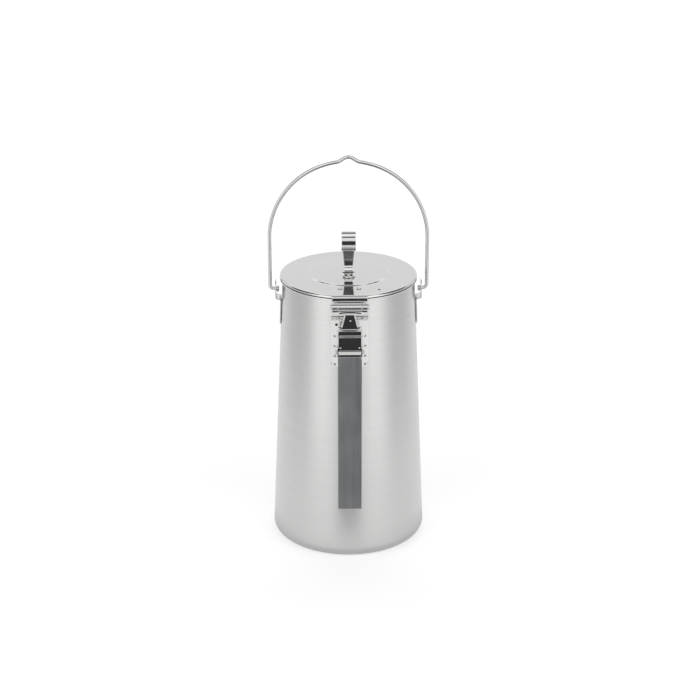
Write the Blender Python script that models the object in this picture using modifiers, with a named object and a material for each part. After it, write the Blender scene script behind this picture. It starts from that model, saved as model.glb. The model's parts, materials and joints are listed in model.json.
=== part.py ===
# Camping kettle: a tall tapered steel kettle with a hinged lid, a swinging wire bail,
# a folding side handle and a pressed spout. Metres, +Z up. The origin is the middle of
# the base on the ground; the side handle is on -Y, the spout on +Y, the bail ears on X.

import math

import bmesh
import bpy
import numpy as np
from mathutils import Matrix

# Clearances
FIT_GAP = 0.0003            # between pieces that touch
PIN_CLEARANCE = 0.00035     # round a pin in its eye
SIDE_CLEARANCE = 0.0004     # beside a knuckle or an eye

# Vessel
BASE_RADIUS = 0.0610
MOUTH_RADIUS = 0.0521
BODY_HEIGHT = 0.2196
CORNER_RADIUS = 0.0085
WALL = 0.0007
RIM_BEAD_RADIUS = 0.00085
TURNED_STEPS = 52

# Strainer holes behind the spout
STRAINER_HOLE_RADIUS = 0.0021
STRAINER_PITCH = 0.0065
STRAINER_ROWS = 4
STRAINER_FIRST_ROW = 2      # holes in the lowest row
STRAINER_DROP = 0.0230      # top row below the rim

# Spout
SPOUT_HEIGHT = 0.0540
SPOUT_DROP = 0.0150         # top edge at the wall, below the rim
SPOUT_HALF_WIDTH = 0.0185
SPOUT_REACH = 0.0280
SPOUT_TIP_RISE = 0.0030
SPOUT_POINT = 0.0013        # half width and reach at its lower point
SPOUT_SHEET = 0.0008
SPOUT_NOSE_POWER = 1.25     # over 1 narrows the beak's nose
SPOUT_SIDE_POWER = 0.8      # under 1 swells the sides below the lip
SPOUT_KEEL_POWER = 1.1      # over 1 hollows the keel

# Lid
LIP_CLEARANCE = 0.0005
LID_SHEET = 0.0007
LIP_DEPTH = 0.0036
LID_EDGE_RADIUS = 0.0012
PLATEAU_INSET = 0.0228      # the raised middle's rounded edge, from the lid's edge
PLATEAU_RISE = 0.0010
PLATEAU_SLOPE = 0.0014
VENT_HOLE_RADIUS = 0.0011
VENT_HOLE_INSET = 0.0090    # from the lid's edge
VENT_HOLE_TURN = -59.5      # degrees from +X

# Lid hinge
LID_PIN_RADIUS = 0.00185
LID_PIN_DROP = 0.0070       # pin centre below the lid's top
LID_PIN_HEAD_RADIUS = 0.0026
LID_PIN_HEAD = 0.0011
PIN_HEAD_FLAT = 0.75        # share of a pin head's radius that is flat
PIN_HEAD_CHAMFER = 0.35     # share of a pin head's height
LEAF_SHEET = 0.0009
LEAF_HALF_WIDTH = 0.0136
LEAF_STANDOFF = 0.0010      # leaf's inner face outside the lid's lip
LEAF_BEND = 0.0018
LEAF_LENGTH = 0.0198        # along the lid's top, from the lid's edge
KNUCKLE_HALF_WIDTH = 0.0091
ROLL_WRAP = 298.0           # degrees that a rolled knuckle goes round its pin
LEAF_RIVET_SPREAD = 0.0072
LEAF_RIVET_INSET = 0.0143   # from the lid's edge

# Rivets
RIVET_SHANK_RADIUS = 0.0012
RIVET_HEAD_RADIUS = 0.0020
RIVET_HEAD = 0.0008
RIVET_TAIL_RADIUS = 0.0017
RIVET_TAIL = 0.0005

# Knob
KNOB_SHEET = 0.0012
KNOB_HEIGHT = 0.0366
KNOB_CURL_RADIUS = 0.0042   # outside of the curl
KNOB_CURL_WRAP = 300.0
KNOB_STEM_Y = -0.0055
KNOB_FOOT_LENGTH = 0.0105
KNOB_FOOT_BEND = 0.0020
KNOB_RIVET_INSET = 0.0038   # from the foot's front end
KNOB_TOP_HALF_WIDTH = 0.0054
KNOB_WAIST_HALF_WIDTH = 0.0032
KNOB_FOOT_HALF_WIDTH = 0.0052
KNOB_WAIST_HEIGHT = 0.0085  # above the lid's plateau

# Hinge bracket
BRACKET_SHEET = 0.0008
FLANGE_HALF_WIDTH = 0.0142
FLANGE_CORNER = 0.0022
FLANGE_DROP = 0.0132        # bottom edge below the handle pin
BRACKET_TOP_ARCH = 0.0006
CHANNEL_HALF_WIDTH = 0.0093
CHANNEL_RAMP = 0.0005       # side wall's spread from front to flange
PANEL_FACE = 0.0024         # front face outside the handle pin's centre
PANEL_HEIGHT = 0.0123       # top of the flat panel above the handle pin
SHOULDER_LENGTH = 0.0079
SHOULDER_STRAIGHT = 0.45    # share of the shoulder before the channel narrows
SHOULDER_SLOPE = 0.0048     # height in which the front falls back from the panel to the neck
NECK_RISE = 0.0019          # neck's front outside the flange, at its foot
NECK_LIFT = 0.0003          # the same at its top
NECK_DROP = 0.0037          # neck's upper end below the bracket's top
NECK_END = 0.0008           # height in which that end fades into the flat
NECK_FOOT_HALF_WIDTH = 0.0060
NECK_TOP_HALF_WIDTH = 0.0036
CHEEK_DROP = 0.0034         # lower end of the cheeks below the handle pin
CHEEK_FLARE = 0.0005        # cheeks' outer faces outside the channel's
FLARE_LENGTH = 0.0012       # height from the cheeks' width to the channel's
FLAT_LENGTH = 0.0043        # flat stretch under the knuckles
BLEND_LENGTH = 0.0060       # from the wall's curve to that flat
ARM_SHEET = 0.00088         # rolled knuckles, a little thicker than the flat that carries them
NOTCH_LIP = 0.0001          # what the eye's notch leaves of the front beside each cheek

# Side handle
HANDLE_PIN_DROP = 0.0374    # below the lid pin
HANDLE_PIN_RADIUS = 0.0012
HANDLE_PIN_HEAD_RADIUS = 0.0019
HANDLE_PIN_HEAD = 0.0009
HANDLE_SHEET = 0.0012
HANDLE_HALF_WIDTH = 0.00925
HANDLE_LENGTH = 0.1322      # from the pin to the free end
HANDLE_EYE_WRAP = 255.0
HANDLE_EYE_STANDOFF = 0.0010
HANDLE_JOGGLE = 0.0002
HANDLE_JOGGLE_LENGTH = 0.0035
HANDLE_NOTCH = 0.0050       # the eye's narrow neck, below the pin
HANDLE_WALL_GAP = 0.0004    # at the free end

# Ears
EAR_SHEET = 0.0012
EAR_HALF_WIDTH = 0.0065
EAR_PIVOT_DROP = 0.0118     # bail axis below the rim
EAR_TOP_RISE = 0.0080       # above the bail axis
EAR_SHELF_DROP = 0.0069     # below the bail axis
EAR_LEG_LENGTH = 0.0225
EAR_BEND = 0.0016
EAR_SHELF = 0.00025         # straight stretch between the shelf's two bends

# Bail
BAIL_WIRE_RADIUS = 0.0015
BAIL_HOLE_CLEARANCE = 0.0004
BAIL_SIDE_GAP = 0.0024      # from the ear to the wire's side
BAIL_BEND = 0.0032
BAIL_LID_CLEARANCE = 0.0006  # over the opening lid's edge
BAIL_HUMP_RISE = 0.0026
BAIL_HUMP_HALF = 0.0090
BAIL_HEAD = 0.0017
BAIL_HEAD_STEP = 0.0001     # from the wire's radius to the head's
BAIL_HEAD_FACTOR = 1.6

# Places that follow from the sizes above
WALL_FOOT = CORNER_RADIUS
BEAD_TOP = BODY_HEIGHT
BEAD_OUTER = MOUTH_RADIUS - WALL + 2 * RIM_BEAD_RADIUS
LID_RADIUS = BEAD_OUTER + LIP_CLEARANCE + LID_SHEET
LID_TOP = BEAD_TOP + FIT_GAP + LID_SHEET
PLATEAU_RADIUS = LID_RADIUS - PLATEAU_INSET
PLATEAU_TOP = LID_TOP + PLATEAU_RISE
KNUCKLE_BORE = LID_PIN_RADIUS + PIN_CLEARANCE
LID_PIN_Y = -(LID_RADIUS + LEAF_STANDOFF + LEAF_SHEET + KNUCKLE_BORE)
LID_PIN_Z = LID_TOP - LID_PIN_DROP
KNUCKLE_ROLL = KNUCKLE_BORE + LEAF_SHEET / 2
HANDLE_PIN_Z = LID_PIN_Z - HANDLE_PIN_DROP
HANDLE_EYE_OUTER = HANDLE_PIN_RADIUS + FIT_GAP + HANDLE_SHEET
EAR_PIVOT_Z = BODY_HEIGHT - EAR_PIVOT_DROP

# Heights on the hinge bracket, from its bottom edge to its top
BRACKET_BOTTOM = HANDLE_PIN_Z - FLANGE_DROP
PANEL_TOP = HANDLE_PIN_Z + PANEL_HEIGHT
NECK_FOOT = PANEL_TOP + SHOULDER_LENGTH
BRACKET_TOP = LID_PIN_Z - (KNUCKLE_BORE + LEAF_SHEET) - 1.5 * SIDE_CLEARANCE
NECK_TOP = BRACKET_TOP - NECK_DROP
FLAT_FOOT = BRACKET_TOP - FLAT_LENGTH
NOTCH_TOP = HANDLE_PIN_Z + HANDLE_EYE_OUTER + PIN_CLEARANCE
FLARE_FOOT = NOTCH_TOP + FIT_GAP
CHEEK_HALF_WIDTH = CHANNEL_HALF_WIDTH + CHEEK_FLARE


def wall_radius(z):
    """Outside radius of the tapered wall at height z."""
    share = (z - WALL_FOOT) / (BODY_HEIGHT - WALL_FOOT)
    return BASE_RADIUS + (MOUTH_RADIUS - BASE_RADIUS) * share


HANDLE_PIN_Y = -(wall_radius(HANDLE_PIN_Z) + HANDLE_EYE_STANDOFF + HANDLE_EYE_OUTER)
EAR_SHELF_Z = EAR_PIVOT_Z - EAR_SHELF_DROP
EAR_LEG_X = wall_radius(EAR_SHELF_Z - EAR_BEND) + FIT_GAP + EAR_SHEET / 2
EAR_X = EAR_LEG_X + 2 * EAR_BEND + EAR_SHELF


def smooth_step(start, end, value):
    """0 before start, 1 after end, smooth between."""
    share = np.clip((value - start) / (end - start), 0.0, 1.0)
    return share * share * (3.0 - 2.0 * share)


def arc(centre, radius, start, end, count):
    """Points (a, b) along an arc, with angles in degrees."""
    return [
        (
            centre[0] + radius * math.cos(math.radians(angle)),
            centre[1] + radius * math.sin(math.radians(angle)),
        )
        for angle in np.linspace(start, end, count)
    ]


def offset_outline(line, thickness):
    """Closed outline of a sheet of this thickness along an open centre line."""
    points = np.array(line)
    before = np.diff(points, axis=0)
    before /= np.linalg.norm(before, axis=1)[:, None]
    along = np.concatenate([before[:1], before[:-1] + before[1:], before[-1:]])
    along /= np.linalg.norm(along, axis=1)[:, None]
    normal = np.stack([-along[:, 1], along[:, 0]], axis=1)
    widen = np.ones(len(points))
    widen[1:-1] = 1.0 / np.maximum(0.5, (along[1:-1] * before[:-1]).sum(axis=1))
    side = normal * (widen * thickness / 2)[:, None]
    return np.concatenate([points + side, (points - side)[::-1]])


# Objects

SHEET_YZ = Matrix(((0, 0, 1), (1, 0, 0), (0, 1, 0))).to_4x4()    # outline in Y-Z, along X
SHEET_XZ = Matrix(((1, 0, 0), (0, 0, -1), (0, 1, 0))).to_4x4()   # outline in X-Z, along Y


def clear_scene():
    for obj in list(bpy.data.objects):
        bpy.data.objects.remove(obj, do_unlink=True)


def make_collection(name):
    collection = bpy.data.collections.new(name)
    bpy.context.scene.collection.children.link(collection)
    return collection


def steel(name, colour, roughness):
    material = bpy.data.materials.new(name)
    material.use_nodes = True
    shader = material.node_tree.nodes["Principled BSDF"]
    shader.inputs["Base Color"].default_value = (*colour, 1.0)
    shader.inputs["Roughness"].default_value = roughness
    shader.inputs["Metallic"].default_value = 1.0
    return material


def axis_empty(name, location):
    """An empty on a joint's axis, which carries the pieces that turn about it."""
    empty = bpy.data.objects.new(name, None)
    empty.location = location
    empty.empty_display_size = 0.01
    parts.objects.link(empty)
    return empty


def add_mesh(name, mesh, material=None, parent=None, collection=None):
    obj = bpy.data.objects.new(name, mesh)
    (collection or parts).objects.link(obj)
    if material:
        mesh.materials.clear()
        mesh.materials.append(material)
        mesh.shade_smooth()
        mesh.set_sharp_from_angle(angle=math.radians(35))
    if parent:
        obj.parent = parent
    return obj


def mesh_from(name, vertices, faces):
    mesh = bpy.data.meshes.new(name)
    mesh.from_pydata([tuple(v) for v in vertices], [], faces)
    build = bmesh.new()
    build.from_mesh(mesh)
    bmesh.ops.remove_doubles(build, verts=build.verts, dist=1e-6)
    bmesh.ops.recalc_face_normals(build, faces=build.faces)
    build.to_mesh(mesh)
    build.free()
    return mesh


def turned(name, profile, material=None, steps=TURNED_STEPS, parent=None, collection=None):
    """A profile of (radius, height) points turned about Z, outer side from top to bottom."""
    mesh = bpy.data.meshes.new(name)
    edges = [(i, i + 1) for i in range(len(profile) - 1)]
    mesh.from_pydata([(r, 0.0, z) for r, z in profile], edges, [])
    obj = add_mesh(name, mesh, None, parent, collection)
    if material:
        mesh.materials.append(material)
    screw = obj.modifiers.new("Turn", "SCREW")
    screw.steps = steps
    screw.render_steps = steps
    screw.use_merge_vertices = True
    screw.merge_threshold = 0.00001
    screw.use_smooth_shade = True
    return obj


def as_mesh(obj, name):
    """The evaluated shape of obj as a mesh with its points welded and its normals outward."""
    bpy.context.view_layer.update()
    graph = bpy.context.evaluated_depsgraph_get()
    mesh = bpy.data.meshes.new_from_object(obj.evaluated_get(graph))
    mesh.name = name
    build = bmesh.new()
    build.from_mesh(mesh)
    bmesh.ops.remove_doubles(build, verts=build.verts, dist=2e-6)
    bmesh.ops.recalc_face_normals(build, faces=build.faces)
    build.to_mesh(mesh)
    build.free()
    return mesh


def from_curve(name, points, place, material=None, parent=None, collection=None, **shape):
    """A poly curve with the given shape settings, made a mesh in its parent's frame."""
    curve = bpy.data.curves.new(name, "CURVE")
    radii = shape.pop("radii", None)
    closed = shape.pop("closed", False)
    curve.dimensions = "2D" if closed else "3D"
    for key, value in shape.items():
        setattr(curve, key, value)
    spline = curve.splines.new("POLY")
    spline.points.add(len(points) - 1)
    for index, point in enumerate(points):
        x, y, *z = point
        spline.points[index].co = (x, y, z[0] if z else 0.0, 1.0)
        if radii:
            spline.points[index].radius = radii[index]
    spline.use_cyclic_u = closed
    guide = bpy.data.objects.new(name, curve)
    parts.objects.link(guide)
    mesh = as_mesh(guide, name)
    mesh.transform(place)
    bpy.data.objects.remove(guide, do_unlink=True)
    bpy.data.curves.remove(curve)
    return add_mesh(name, mesh, material, parent, collection)


def sheet(name, line, thickness, half_width, place, material=None, parent=None, collection=None):
    """Bent sheet metal: a centre line with a thickness, as wide as twice half_width."""
    return from_curve(
        name, offset_outline(line, thickness), place, material, parent, collection,
        closed=True, fill_mode="BOTH", extrude=half_width,
    )


def box(name, low, high):
    """A cutter between two corners."""
    build = bmesh.new()
    bmesh.ops.create_cube(build, size=1.0)
    size = [b - a for a, b in zip(low, high)]
    middle = [(a + b) / 2 for a, b in zip(low, high)]
    bmesh.ops.scale(build, vec=size, verts=build.verts)
    bmesh.ops.translate(build, vec=middle, verts=build.verts)
    mesh = bpy.data.meshes.new(name)
    build.to_mesh(mesh)
    build.free()
    return hide(add_mesh(name, mesh, collection=cutters))


def rod(name, radius, length, centre, along, sides=16):
    """A round cutter, centred, along X, Y or Z."""
    build = bmesh.new()
    bmesh.ops.create_cone(
        build, cap_ends=True, segments=sides, radius1=radius, radius2=radius, depth=length
    )
    turn = {
        "X": Matrix.Rotation(math.pi / 2, 4, "Y"),
        "Y": Matrix.Rotation(math.pi / 2, 4, "X"),
        "Z": Matrix.Identity(4),
    }[along]
    bmesh.ops.transform(build, matrix=Matrix.Translation(centre) @ turn, verts=build.verts)
    mesh = bpy.data.meshes.new(name)
    build.to_mesh(mesh)
    build.free()
    return hide(add_mesh(name, mesh, collection=cutters))


def hide(cutter):
    cutter.hide_render = True
    cutter.display_type = "WIRE"
    return cutter


def combine(obj, other, operation="DIFFERENCE"):
    """One exact Boolean; the other solid shares the piece's parent, so their frames agree."""
    other.parent = obj.parent
    modifier = obj.modifiers.new(operation.title(), "BOOLEAN")
    modifier.operation = operation
    modifier.solver = "EXACT"
    modifier.object = other


def skin(outer, inner):
    """Closed solid between two grids of points with the same rows and columns."""
    rows, columns = outer.shape[:2]
    points = np.concatenate([outer.reshape(-1, 3), inner.reshape(-1, 3)])
    inside = rows * columns

    def at(row, column, side=0):
        return side * inside + row * columns + column

    faces = []
    for r in range(rows - 1):
        for c in range(columns - 1):
            quad = [at(r, c), at(r, c + 1), at(r + 1, c + 1), at(r + 1, c)]
            faces.append(quad)
            faces.append([inside + index for index in reversed(quad)])
    rim = [(0, c) for c in range(columns)]
    rim += [(r, columns - 1) for r in range(1, rows)]
    rim += [(rows - 1, c) for c in range(columns - 2, -1, -1)]
    rim += [(r, 0) for r in range(rows - 2, 0, -1)]
    for (r0, c0), (r1, c1) in zip(rim, rim[1:] + rim[:1]):
        faces.append([at(r0, c0), at(r0, c0, 1), at(r1, c1, 1), at(r1, c1)])
    return points, faces


# Vessel

def body_profile():
    """Inside of the floor, up the inner wall, over the rolled rim and down the outside."""
    rise = BODY_HEIGHT - WALL_FOOT
    lean = math.degrees(math.atan2(BASE_RADIUS - MOUTH_RADIUS, rise))
    corner = (BASE_RADIUS - CORNER_RADIUS, CORNER_RADIUS)
    inner = arc(corner, CORNER_RADIUS - WALL, -90, lean, 6)
    outer = arc(corner, CORNER_RADIUS, lean, -90, 8)
    bead = (MOUTH_RADIUS - WALL + RIM_BEAD_RADIUS, BEAD_TOP - RIM_BEAD_RADIUS)
    rim = arc(bead, RIM_BEAD_RADIUS, 180, -75, 10)
    under_bead = rim[-1][1] - RIM_BEAD_RADIUS / 2
    return (
        [(0.0, WALL)] + inner + rim
        + [(wall_radius(under_bead), under_bead)] + outer + [(0.0, 0.0)]
    )


def strainer_cutters():
    """Rows of holes behind the spout, each row a hole longer than the one below."""
    top = BODY_HEIGHT - STRAINER_DROP
    for row in range(STRAINER_ROWS):
        z = top - (STRAINER_ROWS - 1 - row) * STRAINER_PITCH
        count = STRAINER_FIRST_ROW + row
        for index in range(count):
            x = (index - (count - 1) / 2) * STRAINER_PITCH
            middle = (x, wall_radius(z), z)
            yield rod(f"strainer_{row}_{index}", STRAINER_HOLE_RADIUS, 12 * WALL, middle, "Y", 10)


def make_body():
    body = turned("body_shell", body_profile(), satin)
    for cutter in strainer_cutters():
        combine(body, cutter)
    return body


def spout_surface(inset):
    """V-shaped beak, from its point on the wall up to the lip; inset is the sheet's depth."""
    top = BODY_HEIGHT - SPOUT_DROP
    bottom = top - SPOUT_HEIGHT
    share = np.linspace(0.0, 1.0, 10)[:, None]
    turn = np.radians(np.linspace(-90, 90, 15))[None, :]
    nose = np.cos(turn) ** SPOUT_NOSE_POWER
    rise = bottom + SPOUT_HEIGHT * share + SPOUT_TIP_RISE * share**2 * nose
    half_width = SPOUT_POINT + (SPOUT_HALF_WIDTH - SPOUT_POINT) * share**SPOUT_SIDE_POWER
    reach = SPOUT_POINT + (SPOUT_REACH - SPOUT_POINT) * share**SPOUT_KEEL_POWER
    x = (half_width - inset) * np.sin(turn)
    wall = np.sqrt((wall_radius(rise) + FIT_GAP) ** 2 - x**2)
    y = wall + (reach - inset) * nose
    return np.stack([x, y, rise + 0.0 * x], axis=2)


def make_spout():
    points, faces = skin(spout_surface(0.0), spout_surface(SPOUT_SHEET))
    return add_mesh("spout", mesh_from("spout", points, faces), satin)


# Lid

def lid_profile():
    edge = (LID_RADIUS - LID_EDGE_RADIUS, LID_TOP - LID_EDGE_RADIUS)
    lip_bottom = LID_TOP - LIP_DEPTH
    plateau_foot = PLATEAU_RADIUS + PLATEAU_SLOPE
    return (
        [(0.0, PLATEAU_TOP), (PLATEAU_RADIUS - PLATEAU_SLOPE / 2, PLATEAU_TOP)]
        + [(PLATEAU_RADIUS, PLATEAU_TOP - PLATEAU_RISE / 5)]
        + [(plateau_foot, LID_TOP + PLATEAU_RISE / 8)]
        + [(plateau_foot + PLATEAU_SLOPE / 2, LID_TOP)]
        + arc(edge, LID_EDGE_RADIUS, 90, 0, 6)
        + [(LID_RADIUS, lip_bottom), (LID_RADIUS - LID_SHEET, lip_bottom)]
        + arc(edge, LID_EDGE_RADIUS - LID_SHEET, 0, 90, 4)
        + [(plateau_foot, LID_TOP - LID_SHEET)]
        + [(PLATEAU_RADIUS, PLATEAU_TOP - LID_SHEET), (0.0, PLATEAU_TOP - LID_SHEET)]
    )


def lid_point(x, y, z):
    """A world place in the lid hinge's frame."""
    return (x, y - LID_PIN_Y, z - LID_PIN_Z)


def leaf_rivet_place(side):
    return (side * LEAF_RIVET_SPREAD, -(LID_RADIUS - LEAF_RIVET_INSET))


def knob_rivet_y():
    return KNOB_STEM_Y - KNOB_FOOT_LENGTH + KNOB_RIVET_INSET


def shank_hole(name, x, y):
    """A cutter for a rivet's shank, through everything at the lid's top."""
    radius = RIVET_SHANK_RADIUS + FIT_GAP
    return rod(name, radius, 10 * LEAF_SHEET, lid_point(x, y, LID_TOP), "Z", 14)


def make_lid(lid_axis):
    lid = turned("lid", lid_profile(), polished, parent=lid_axis)
    lid.location = lid_point(0.0, 0.0, 0.0)
    for side in (-1, 1):
        combine(lid, shank_hole(f"lid_leaf_hole_{side}", *leaf_rivet_place(side)))
    combine(lid, shank_hole("lid_knob_hole", 0.0, knob_rivet_y()))
    vent_turn = math.radians(VENT_HOLE_TURN)
    vent_x = (LID_RADIUS - VENT_HOLE_INSET) * math.cos(vent_turn)
    vent_y = (LID_RADIUS - VENT_HOLE_INSET) * math.sin(vent_turn)
    vent = rod(
        "vent_cutter", VENT_HOLE_RADIUS, 10 * LID_SHEET, lid_point(vent_x, vent_y, LID_TOP), "Z", 12
    )
    combine(lid, vent)
    return lid


def knuckle_line(leg_end, sweep):
    """Centre line of a rolled knuckle about the pin, from a straight leg at +Y.

    The leg starts at the height leg_end, and the roll turns away from it."""
    return [(KNUCKLE_ROLL, leg_end)] + arc((0.0, 0.0), KNUCKLE_ROLL, 0, sweep, 22)


def make_leaf(lid_axis):
    """Strip on the lid's top, bent over the edge and rolled round the pin."""
    flat_z = LID_PIN_DROP + FIT_GAP + LEAF_SHEET / 2
    inner_end = -(LID_RADIUS - LEAF_LENGTH) - LID_PIN_Y
    bend = arc((KNUCKLE_ROLL + LEAF_BEND, flat_z - LEAF_BEND), LEAF_BEND, 90, 180, 6)
    line = [(inner_end, flat_z)] + bend + knuckle_line(KNUCKLE_ROLL, -ROLL_WRAP)
    leaf = sheet("lid_leaf", line, LEAF_SHEET, LEAF_HALF_WIDTH, SHEET_YZ, polished, lid_axis)
    outer = KNUCKLE_BORE + LEAF_SHEET
    for side in (-1, 1):
        ends = sorted((side * KNUCKLE_HALF_WIDTH, side * 2 * LEAF_HALF_WIDTH))
        combine(leaf, box(
            f"leaf_side_{side}",
            (ends[0], -3 * outer, -3 * outer),
            (ends[1], 3 * outer, outer + SIDE_CLEARANCE),
        ))
        combine(leaf, shank_hole(f"leaf_hole_{side}", *leaf_rivet_place(side)))
    return leaf


def rivet_profile(stack_top, stack_bottom):
    """Domed head above the stack, shank through it and a flat tail below."""
    head = stack_top + FIT_GAP
    tail = stack_bottom - FIT_GAP
    dome = [
        (RIVET_HEAD_RADIUS * math.sin(angle), head + RIVET_HEAD * math.cos(angle))
        for angle in np.radians((0, 30, 55, 75))
    ]
    return dome + [
        (RIVET_HEAD_RADIUS, head), (RIVET_SHANK_RADIUS, head),
        (RIVET_SHANK_RADIUS, tail), (RIVET_TAIL_RADIUS, tail),
        (RIVET_TAIL_RADIUS, tail - RIVET_TAIL), (0.0, tail - RIVET_TAIL),
    ]


def make_leaf_rivets(lid_axis):
    top = LID_TOP + FIT_GAP + LEAF_SHEET
    for side, name in ((-1, "leaf_rivet_left"), (1, "leaf_rivet_right")):
        rivet = turned(name, rivet_profile(top, LID_TOP - LID_SHEET), polished, 16, lid_axis)
        rivet.location = lid_point(*leaf_rivet_place(side), 0.0)


def knob_width(z):
    """Half width of the knob's strap at height z above the plateau."""
    foot = KNOB_FOOT_HALF_WIDTH - KNOB_WAIST_HALF_WIDTH
    top = KNOB_TOP_HALF_WIDTH - KNOB_WAIST_HALF_WIDTH
    return (
        KNOB_WAIST_HALF_WIDTH
        + foot * (1 - smooth_step(KNOB_SHEET, KNOB_WAIST_HEIGHT / 2, z))
        + top * smooth_step(KNOB_WAIST_HEIGHT, KNOB_HEIGHT - 2 * KNOB_CURL_RADIUS, z)
    )


def make_knob(lid_axis):
    """Waisted strap: a foot on the lid, an upright stem and a curl towards the handle."""
    base = PLATEAU_TOP + FIT_GAP + KNOB_SHEET / 2
    curl = KNOB_CURL_RADIUS - KNOB_SHEET / 2
    curl_z = PLATEAU_TOP + KNOB_HEIGHT - KNOB_CURL_RADIUS
    bend = (KNOB_STEM_Y - KNOB_FOOT_BEND, base + KNOB_FOOT_BEND)
    front = KNOB_STEM_Y - KNOB_FOOT_LENGTH
    round_end = np.radians((8, 25, 45, 65, 90))
    foot_y = front + KNOB_FOOT_HALF_WIDTH * (1 - np.cos(round_end))
    stem_z = np.linspace(bend[1] + KNOB_FOOT_BEND, curl_z, 9)[:-1]
    curl_line = arc((KNOB_STEM_Y - curl, curl_z), curl, 0, KNOB_CURL_WRAP, 20)
    line = np.array(
        [(y, base) for y in foot_y]
        + arc(bend, KNOB_FOOT_BEND, -90, 0, 6)
        + [(KNOB_STEM_Y, z) for z in stem_z]
        + curl_line
    )
    half = knob_width(line[:, 1] - PLATEAU_TOP)
    half[-len(curl_line):] = KNOB_TOP_HALF_WIDTH
    half[:len(round_end)] = KNOB_FOOT_HALF_WIDTH * np.sin(round_end)
    edges = offset_outline(line, KNOB_SHEET)
    front_side, back_side = edges[:len(line)], edges[len(line):][::-1]

    def grid(side):
        return np.stack([
            np.column_stack([sign * half, side[:, 0] - LID_PIN_Y, side[:, 1] - LID_PIN_Z])
            for sign in (-1.0, 1.0)
        ], axis=1)

    points, faces = skin(grid(front_side), grid(back_side))
    knob = add_mesh("knob_strap", mesh_from("knob_strap", points, faces), polished, lid_axis)
    combine(knob, shank_hole("knob_hole", 0.0, knob_rivet_y()))
    return knob


def make_knob_rivet(lid_axis):
    top = PLATEAU_TOP + FIT_GAP + KNOB_SHEET
    profile = rivet_profile(top, PLATEAU_TOP - LID_SHEET)
    rivet = turned("knob_rivet", profile, polished, 16, lid_axis)
    rivet.location = lid_point(0.0, knob_rivet_y(), 0.0)


def headed_pin(name, radius, half_length, head_radius, head, location):
    """A pin along X with a low head at each end."""
    inner = half_length
    outer = half_length + head
    flat = head_radius * PIN_HEAD_FLAT
    side = outer - head * PIN_HEAD_CHAMFER
    profile = [
        (0.0, outer), (flat, outer), (head_radius, side), (head_radius, inner), (radius, inner),
        (radius, -inner), (head_radius, -inner), (head_radius, -side), (flat, -outer), (0.0, -outer),
    ]
    pin = turned(name, profile, polished, 20)
    pin.rotation_euler = (0.0, math.pi / 2, 0.0)
    pin.location = location
    return pin


# Hinge bracket

def bracket_surface(inner):
    """Front or back of the pressing, as rows from bottom to top and columns along X.

    The flanges follow the wall and go over into a flat under the lid's knuckles. The
    channel in the middle is deep at the handle's cheeks, drops over a rounded shoulder
    to a low neck, and the neck narrows and dies out towards the top."""
    rows = np.concatenate([
        np.linspace(BRACKET_BOTTOM, FLARE_FOOT, 5),
        np.linspace(FLARE_FOOT + FLARE_LENGTH, PANEL_TOP - BRACKET_SHEET, 3),
        np.linspace(PANEL_TOP, NECK_FOOT, 9),
        np.linspace(NECK_FOOT, NECK_TOP - NECK_END, 5)[1:],
        [NECK_TOP, (NECK_TOP + BRACKET_TOP) / 2, BRACKET_TOP],
    ])[:, None]
    depth = 0.0 if inner else BRACKET_SHEET
    slim = BRACKET_SHEET if inner else 0.0
    narrowing = smooth_step(PANEL_TOP + SHOULDER_LENGTH * SHOULDER_STRAIGHT, NECK_FOOT, rows)
    taper = np.clip((rows - NECK_FOOT) / (NECK_TOP - NECK_FOOT), 0, 1)
    flare = 1 - smooth_step(FLARE_FOOT, FLARE_FOOT + FLARE_LENGTH, rows)
    half = (
        CHANNEL_HALF_WIDTH
        + CHEEK_FLARE * flare
        + (NECK_FOOT_HALF_WIDTH - CHANNEL_HALF_WIDTH) * narrowing
        + (NECK_TOP_HALF_WIDTH - NECK_FOOT_HALF_WIDTH) * taper
        - slim
    )
    ramp = half + CHANNEL_RAMP
    edge = FLANGE_HALF_WIDTH
    outline = [edge - FLANGE_CORNER, edge - FLANGE_CORNER / 3, edge]
    right = np.concatenate(
        [half / 2, half, ramp] + [0.0 * half + x for x in outline], axis=1
    )
    x = np.concatenate([-right[:, ::-1], 0.0 * half, right], axis=1)
    front = np.concatenate(
        [np.ones_like(half)] * 2 + [np.zeros_like(half)] * (1 + len(outline)), axis=1
    )
    front = np.concatenate([front[:, ::-1], np.ones_like(half), front], axis=1)

    radius = wall_radius(rows) + FIT_GAP
    flat = -LID_PIN_Y - KNUCKLE_ROLL - BRACKET_SHEET / 2
    flatten = smooth_step(FLAT_FOOT - BLEND_LENGTH, FLAT_FOOT, rows)
    flange = (1 - flatten) * np.sqrt(radius**2 - x**2) + flatten * flat
    panel = -HANDLE_PIN_Y + PANEL_FACE
    neck_fade = 1 - smooth_step(NECK_TOP - NECK_END, NECK_TOP, rows)
    neck_low = wall_radius(NECK_FOOT) + FIT_GAP + BRACKET_SHEET + NECK_RISE
    neck_high = flat + BRACKET_SHEET + NECK_LIFT
    neck = neck_low + (neck_high - neck_low) * (rows - NECK_FOOT) / (NECK_TOP - NECK_FOOT)
    face = panel + (neck - panel) * smooth_step(PANEL_TOP, PANEL_TOP + SHOULDER_SLOPE, rows)
    y = flange + depth + front * neck_fade * (face - BRACKET_SHEET - flange)

    z = rows + 0.0 * x
    corner = np.clip(np.abs(x) - (edge - FLANGE_CORNER), 0.0, FLANGE_CORNER)
    z[0] += (FLANGE_CORNER - np.sqrt(FLANGE_CORNER**2 - corner**2))[0]
    z[-1] -= BRACKET_TOP_ARCH * np.minimum(1.0, np.abs(x[-1]) / KNUCKLE_HALF_WIDTH) ** 2
    return np.stack([x, -y, z], axis=2)


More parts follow.
